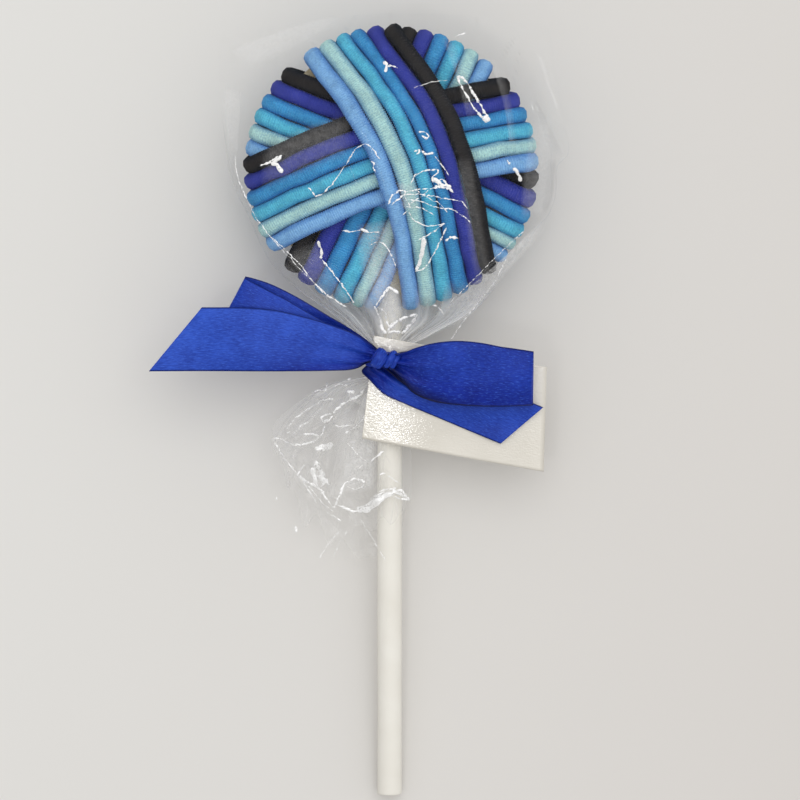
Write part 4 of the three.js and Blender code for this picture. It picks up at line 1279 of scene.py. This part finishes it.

# Each strip's upper and lower edge as the camera sees them, from the knot outwards and, on a loop, round its
# fold and back, how dark the satin is made at the first and the last row, by its matt back and by painted
# shade, how far the middle is puffed out, and how much painted shade darkens the lower edge near the knot.
RIBBON_STRIPS = {
    "left_tail": (
        [
            (-3.4, -46.2, 9.4), (-8.5, -42.2, 10.4), (-15.6, -39.3, 10.8), (-21.9, -37.4, 10.9),
            (-29, -35.8, 10.7), (-36, -35.1, 10.3), (-47.6, -35, 9.2),
        ],
        [
            (-4.8, -48.6, 9.2), (-6.7, -49.2, 9.6), (-8.2, -50.1, 10), (-10.4, -50.7, 10.6), (-15, -50.9, 11),
            (-28, -51, 11.2), (-44, -51, 10.4), (-60.9, -51, 8.2),
        ],
        (0.3, 0.0),
        0.5,
        1.6,
    ),
    "left_loop": (
        [
            (-2.6, -46.2, 8.8), (-8.2, -43.6, 9), (-16.6, -38.9, 9.2), (-21.3, -36.2, 9.2), (-26.4, -33.2, 9),
            (-31.6, -30.5, 8.7), (-36.9, -27.4, 7.6), (-31.6, -28.8, 6.8), (-26.4, -31.1, 6.5),
            (-21.3, -33.9, 6.5), (-16.2, -37, 6.5), (-11, -40.1, 6.6), (-6.9, -42.9, 6.8), (-3, -46, 7.6),
        ],
        [
            (-3.4, -49.2, 8.8), (-13, -47.2, 9.2), (-26, -44.4, 9.6), (-40.6, -40.8, 8.8),
            (-44.2, -41.2, 7.8), (-41, -41.4, 7), (-26, -45, 6.8), (-13, -47.4, 6.8), (-3.4, -49.4, 7.6),
        ],
        (0.25, 1.0),
        0.3,
        1.6,
    ),
    "right_loop": (
        [
            (-0.8, -46.8, 9), (2.3, -46.4, 10.4), (6, -45, 11.8), (10.4, -43.9, 13), (16, -43.4, 14),
            (21.6, -43.8, 14.2), (28.3, -45.1, 13.8), (35.3, -46.1, 12.4), (28.3, -45.1, 10.6),
            (16, -43.8, 9.6), (6, -45.6, 8.8), (-0.8, -47, 8.2),
        ],
        [
            (-2, -49.8, 8.8), (0.2, -51.6, 9), (2.6, -54, 9.2), (5.4, -56.7, 9.4), (10.4, -58.6, 10.2),
            (16, -59.4, 11.4), (26, -59.8, 11.2), (35.1, -59.5, 10.2), (26, -59.6, 9),
            (14, -58.6, 8.4), (5, -55.4, 8), (-2, -50, 8),
        ],
        (0.6, 1.0),
        1.2,
        2.1,
    ),
    "right_tail": (
        [
            (-1, -47.4, 6.6), (5, -49.2, 6.8), (10, -50.4, 7.2), (18, -52.6, 7.6), (28, -56, 7.2),
            (37.7, -60, 6.8),
        ],
        [
            (-5.4, -49.0, 7), (-7.6, -50.9, 6.7), (-5.6, -53.2, 6.8), (-2.2, -56.6, 7), (4, -59.5, 6.9),
            (10.4, -62.2, 6.8), (19.4, -66, 6.7), (27, -69.1, 6.6),
        ],
        (0.2, 0.4),
        0.5,
        0.3,
    ),
}


def ribbon_strip(upper, lower, dull_and_shade, puff, lower_shade):
    """A strip between two edge curves, gathered where it goes into the knot and puffed out by puff beyond,
    with the numbers for the satin and the strip's length."""
    rows, columns = STRIP_GRID
    top = smooth_curve(seen(upper), rows)
    bottom = smooth_curve(seen(lower), rows)
    v = np.linspace(0, 1, columns)[None]
    points = top[:, None] * (1 - v[..., None]) + bottom[:, None] * v[..., None]
    along = unit(np.gradient(points, axis=0))
    across = unit(bottom - top)[:, None]
    normal = unit(np.cross(along, across))
    middle = (top + bottom) / 2
    travel = travelled(middle)[:, None]
    from_knot = np.linalg.norm(middle - KNOT_CENTRE, axis=1)
    gathered, near_knot, deep = (np.exp(-((from_knot / reach) ** 2))[:, None] for reach in (10, 24, 5))
    folds = 0.9 * np.cos(2 * math.pi * (2.5 * v + rng.uniform()))
    folds = folds + 0.7 * np.abs(np.cos(math.pi * (5.3 * v + rng.uniform()))) - 0.35
    soft = 0.3 * np.sin(2 * math.pi * (travel / 31 + 0.8 * v + rng.uniform()))
    outward = math.copysign(1, KNOT_CENTRE[0] - middle[rows // 2, 0])
    puffed = (soft + puff * outward * (4 * v * (1 - v)) ** 0.8) * (1 - gathered)
    points = points + normal * (folds * gathered)[..., None]
    points[..., 2] += normal[..., 2] * puffed
    # Painted shade: the row's darkness, more along the lower edge near the knot and near black right at it.
    shaded = np.linspace(*dull_and_shade, rows)[:, None] + lower_shade * v**4 * near_knot + 1.5 * deep
    numbers = satin_numbers(travel + 0 * v, RIBBON_WIDTH * v + 0 * travel, shaded)
    return points, grid_faces(rows, columns), numbers, travel[-1, 0]


def satin_numbers(along, across, dull_and_shade):
    """The numbers that the satin reads from the mesh."""
    return {"along": along.ravel(), "across": across.ravel(), "dull_and_shade": dull_and_shade.ravel()}


def roll(path, width, thickness, creases):
    """A fold of wrapped ribbon: a flattened tube along a path, round at its ends, with creases along it."""
    rows, columns = ROLL_GRID
    path = smooth_curve(seen(path), rows)
    onward = unit(np.gradient(path, axis=0))
    sideways = unit(np.cross(onward, [0, 0, 1.0]) + [1e-6, 0, 0])
    out = np.cross(sideways, onward)
    angle = np.linspace(0, 2 * math.pi, columns, endpoint=False)[None]
    dents = 0
    for _ in range(creases):
        depth = rng.uniform(0.08, 0.2)
        off = np.abs(np.angle(np.exp(1j * (angle - rng.uniform(0.1, 0.9) * math.pi))))
        dents = dents + depth * np.exp(-off / 0.12)
    t = np.linspace(-1, 1, rows)[:, None]
    reach = np.sqrt(np.maximum(0, 1 - np.abs(t) ** 5)) * (1 - dents) + 0.004
    x = width / 2 * signed_power(np.cos(angle), 0.8) * reach
    z = thickness / 2 * signed_power(np.sin(angle), 0.8) * reach
    points = path[:, None] + sideways[:, None] * x[..., None] + out[:, None] * z[..., None]
    across = (RIBBON_WIDTH + width * np.cos(angle)) / 2 + 0 * t
    # Painted shade darkens each fold throughout, and more at its ends and sides.
    numbers = satin_numbers(4 * t + 0 * angle, across, 0.5 + 0.9 * t**4 + 0.4 * np.cos(angle) ** 4)
    return points, grid_faces(rows, columns, loop_columns=True)[:, ::-1], numbers


# Folds of the knot: the points that each runs through, its width and thickness, and its creases.
KNOT_ROLLS = [
    ([(-2.1, -46.1, 8), (-2.5, -46.7, 9.9), (-3.3, -47.8, 10.5), (-4.2, -49, 9.9),
      (-4.7, -49.6, 8.2)], 3.6, 1.8, 6),
    ([(0.5, -46.3, 8.2), (0.2, -46.9, 9.9), (-0.4, -47.9, 10.5), (-1.2, -49.1, 9.9),
      (-1.7, -49.7, 8.2)], 1.9, 1.8, 3),
    ([(1.5, -47, 8), (1.3, -47.5, 9.5), (0.8, -48.4, 10), (0.1, -49.6, 9.6),
      (-0.3, -50.3, 8.4)], 1.5, 1.8, 3),
    ([(-7.2, -48.2, 7.6), (-4, -48.1, 7.8), (1, -47.8, 7.8)], 3.6, 2.6, 3),
    ([(-0.7, -45.6, 0), (-0.7, -48.3, 0), (-0.7, -51, 0)], 10.4, 10.4, 8),
    ([(-4, -48.3, 5), (-1.4, -48.3, 5), (1.2, -48.3, 5)], 2.8, 2.8, 3),
]


def add_satin(name, parts, material):
    """One piece of several parts, each of which starts with its points, its faces and its numbers."""
    points, faces = joined([part[:2] for part in parts])
    numbers = {key: np.concatenate([part[2][key] for part in parts]) for key in parts[0][2]}
    return add_piece(name, points, faces, material, "ribbon_bow", numbers)


def add_ribbon():
    """The bow as one sheet of ribbon, and the knot with the band round the neck."""
    satin = satin_material()
    strips = [ribbon_strip(*strip) for strip in RIBBON_STRIPS.values()]
    bow = add_satin("satin_bow", strips, satin)
    thicken(bow, RIBBON_THICKNESS)
    knot = add_satin("satin_knot", [roll(*fold) for fold in KNOT_ROLLS], satin)


# ---- tag

TAG_CORNERS = [(-4.6, -42.1), (38.6, -50.0), (37.8, -76.1), (-7.6, -67.9)]
TAG_HOLE = np.array([-1.4, -48.3])
TAG_HOLE_RADIUS = 1.9
TAG_RINGS = 30
TAG_SIDE_POINTS = 40
TAG_MIDDLE = (14.0, -60.0)


def add_tag():
    """A thin card round its hole, out to its four straight edges, bent and twisted a little."""
    corners = seen([(x, y, TAG_Z) for x, y in TAG_CORNERS + TAG_CORNERS[:1]])[:, :2]
    sides = [
        np.linspace(start, end, TAG_SIDE_POINTS, endpoint=False) for start, end in zip(corners, corners[1:])
    ]
    edge = np.vstack(sides)
    rim = TAG_HOLE + TAG_HOLE_RADIUS * unit(edge - TAG_HOLE)
    share = np.linspace(0, 1, TAG_RINGS)[:, None, None]
    plan = rim[None] * (1 - share) + edge[None] * share
    from_middle = plan[..., 0] - TAG_MIDDLE[0]
    bend = np.where(from_middle < 0, 1.6, 0.6) * (from_middle / 24) ** 2
    twist = -0.0012 * from_middle * (plan[..., 1] - TAG_MIDDLE[1])
    points = np.dstack([plan, TAG_Z + TAG_THICKNESS / 2 - bend + 0.3 + twist])
    faces = grid_faces(TAG_RINGS, len(edge), loop_columns=True)[:, ::-1]
    tag = add_piece("pearl_tag", points, faces, tag_material(), "tag")
    thicken(tag, TAG_THICKNESS)


# ---- studio

# Millimetres that the picture spans at FOCUS_HEIGHT, and the sensor's millimetres that it fills.
FIELD = 200.0
SENSOR = 36.0

FLOOR_HALF = 3.0
FLOOR_DROP = 0.0001

# The sky is brightest in this direction and dimmest opposite to it. Its strength follows the cosine of the
# angle between them.
BRIGHT_SIDE = (0.2, 0.191, 0.961)
SKY = {"From Min": -0.9, "From Max": 1.0, "To Min": 0.05, "To Max": 0.955}
SKY_COLOUR = (1.0, 0.99, 0.975, 1)

# Each square lamp's direction from the lollipop, its distance and its size in metres, and its radiance.
LAMPS = {
    "key": ((0.12, 0.3, 0.95), 2.6, 2.2, 1.05),
    "pearl": ((-0.195, -0.2, 1.0), 2.2, 0.2, 14),
}


def add_camera(middle):
    """A long lens straight above the lollipop."""
    camera = bpy.data.objects.new("camera", bpy.data.cameras.new("camera"))
    camera.location = (middle[0], middle[1], CAMERA_HEIGHT / 1000)
    camera.data.sensor_width = SENSOR
    camera.data.lens = SENSOR * (CAMERA_HEIGHT - FOCUS_HEIGHT) / FIELD
    link(camera)
    bpy.context.scene.camera = camera


def floor_material():
    """A pale matt table, with a painted shade that darkens it a little to the right and below."""
    n = Nodes("pale_table")
    place = n.add("ShaderNodeSeparateXYZ", Vector=n.place).outputs
    across = n.maths("SUBTRACT", place["X"], n.maths("MULTIPLY", place["Y"], 0.35))
    cloud = n.maths("MULTIPLY", n.noise(9.0, 3), 0.06)
    # Painted shade: the table darkens towards the right and below.
    darker = n.ramp(n.maths("ADD", across, cloud), -0.1, 0.2)
    colour = n.blend(darker, (0.745, 0.74, 0.72), (0.66, 0.635, 0.61))
    return n.plain(Base_Color=colour, Roughness=0.6)


def add_floor():
    """The plain floor that the lollipop lies on."""
    mesh = bpy.data.meshes.new("floor")
    corners = [(x * FLOOR_HALF, y * FLOOR_HALF, 0) for x, y in ((-1, -1), (1, -1), (1, 1), (-1, 1))]
    mesh.from_pydata(corners, [], [(0, 1, 2, 3)])
    mesh.materials.append(floor_material())
    floor = bpy.data.objects.new("floor", mesh)
    floor.location.z = -FLOOR_DROP
    link(floor)


def add_sky():
    """A soft room, brighter on one side and dim below."""
    world = bpy.data.worlds.new("soft_room")
    bpy.context.scene.world = world
    world.use_nodes = True
    tree = world.node_tree
    background = tree.nodes["Background"]
    background.inputs["Color"].default_value = SKY_COLOUR
    direction = tree.nodes.new("ShaderNodeTexCoord")
    towards = tree.nodes.new("ShaderNodeVectorMath")
    towards.operation = "DOT_PRODUCT"
    towards.inputs[1].default_value = BRIGHT_SIDE
    strength = tree.nodes.new("ShaderNodeMapRange")
    for name, value in SKY.items():
        strength.inputs[name].default_value = value
    tree.links.new(direction.outputs["Generated"], towards.inputs[0])
    tree.links.new(towards.outputs["Value"], strength.inputs["Value"])
    tree.links.new(strength.outputs["Result"], background.inputs["Strength"])


def add_lamp(name, middle, direction, distance, size, radiance):
    """A square lamp of an even radiance, facing the lollipop's middle."""
    lamp = bpy.data.lights.new(name, "AREA")
    lamp.shape = "SQUARE"
    lamp.size = size
    lamp.energy = radiance * math.pi * size**2
    placed = bpy.data.objects.new(name, lamp)
    towards = Vector(direction).normalized()
    placed.location = Vector(middle) + towards * distance
    placed.rotation_euler = towards.to_track_quat("Z", "Y").to_euler()
    link(placed)


def add_studio():
    """Camera, floor, sky and lamps."""
    middle = to_world([VIEW_MIDDLE])[0]
    add_camera(middle)
    add_floor()
    add_sky()
    for name, settings in LAMPS.items():
        add_lamp(name, middle, *settings)
    bpy.context.scene.view_settings.view_transform = "Standard"
    bpy.context.scene.cycles.transparent_max_bounces = 24


# ---- the lollipop

tie_paths = front_paths()
add_ties(tie_paths)
add_stick()
add_film(tie_paths)
add_ribbon()
add_tag()

# The disc keeps the CAD's shape and gets its card.
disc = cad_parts["card_disc"]
kraft = card_material()
for material_slot in disc.material_slots:
    material_slot.material = kraft
add_studio()
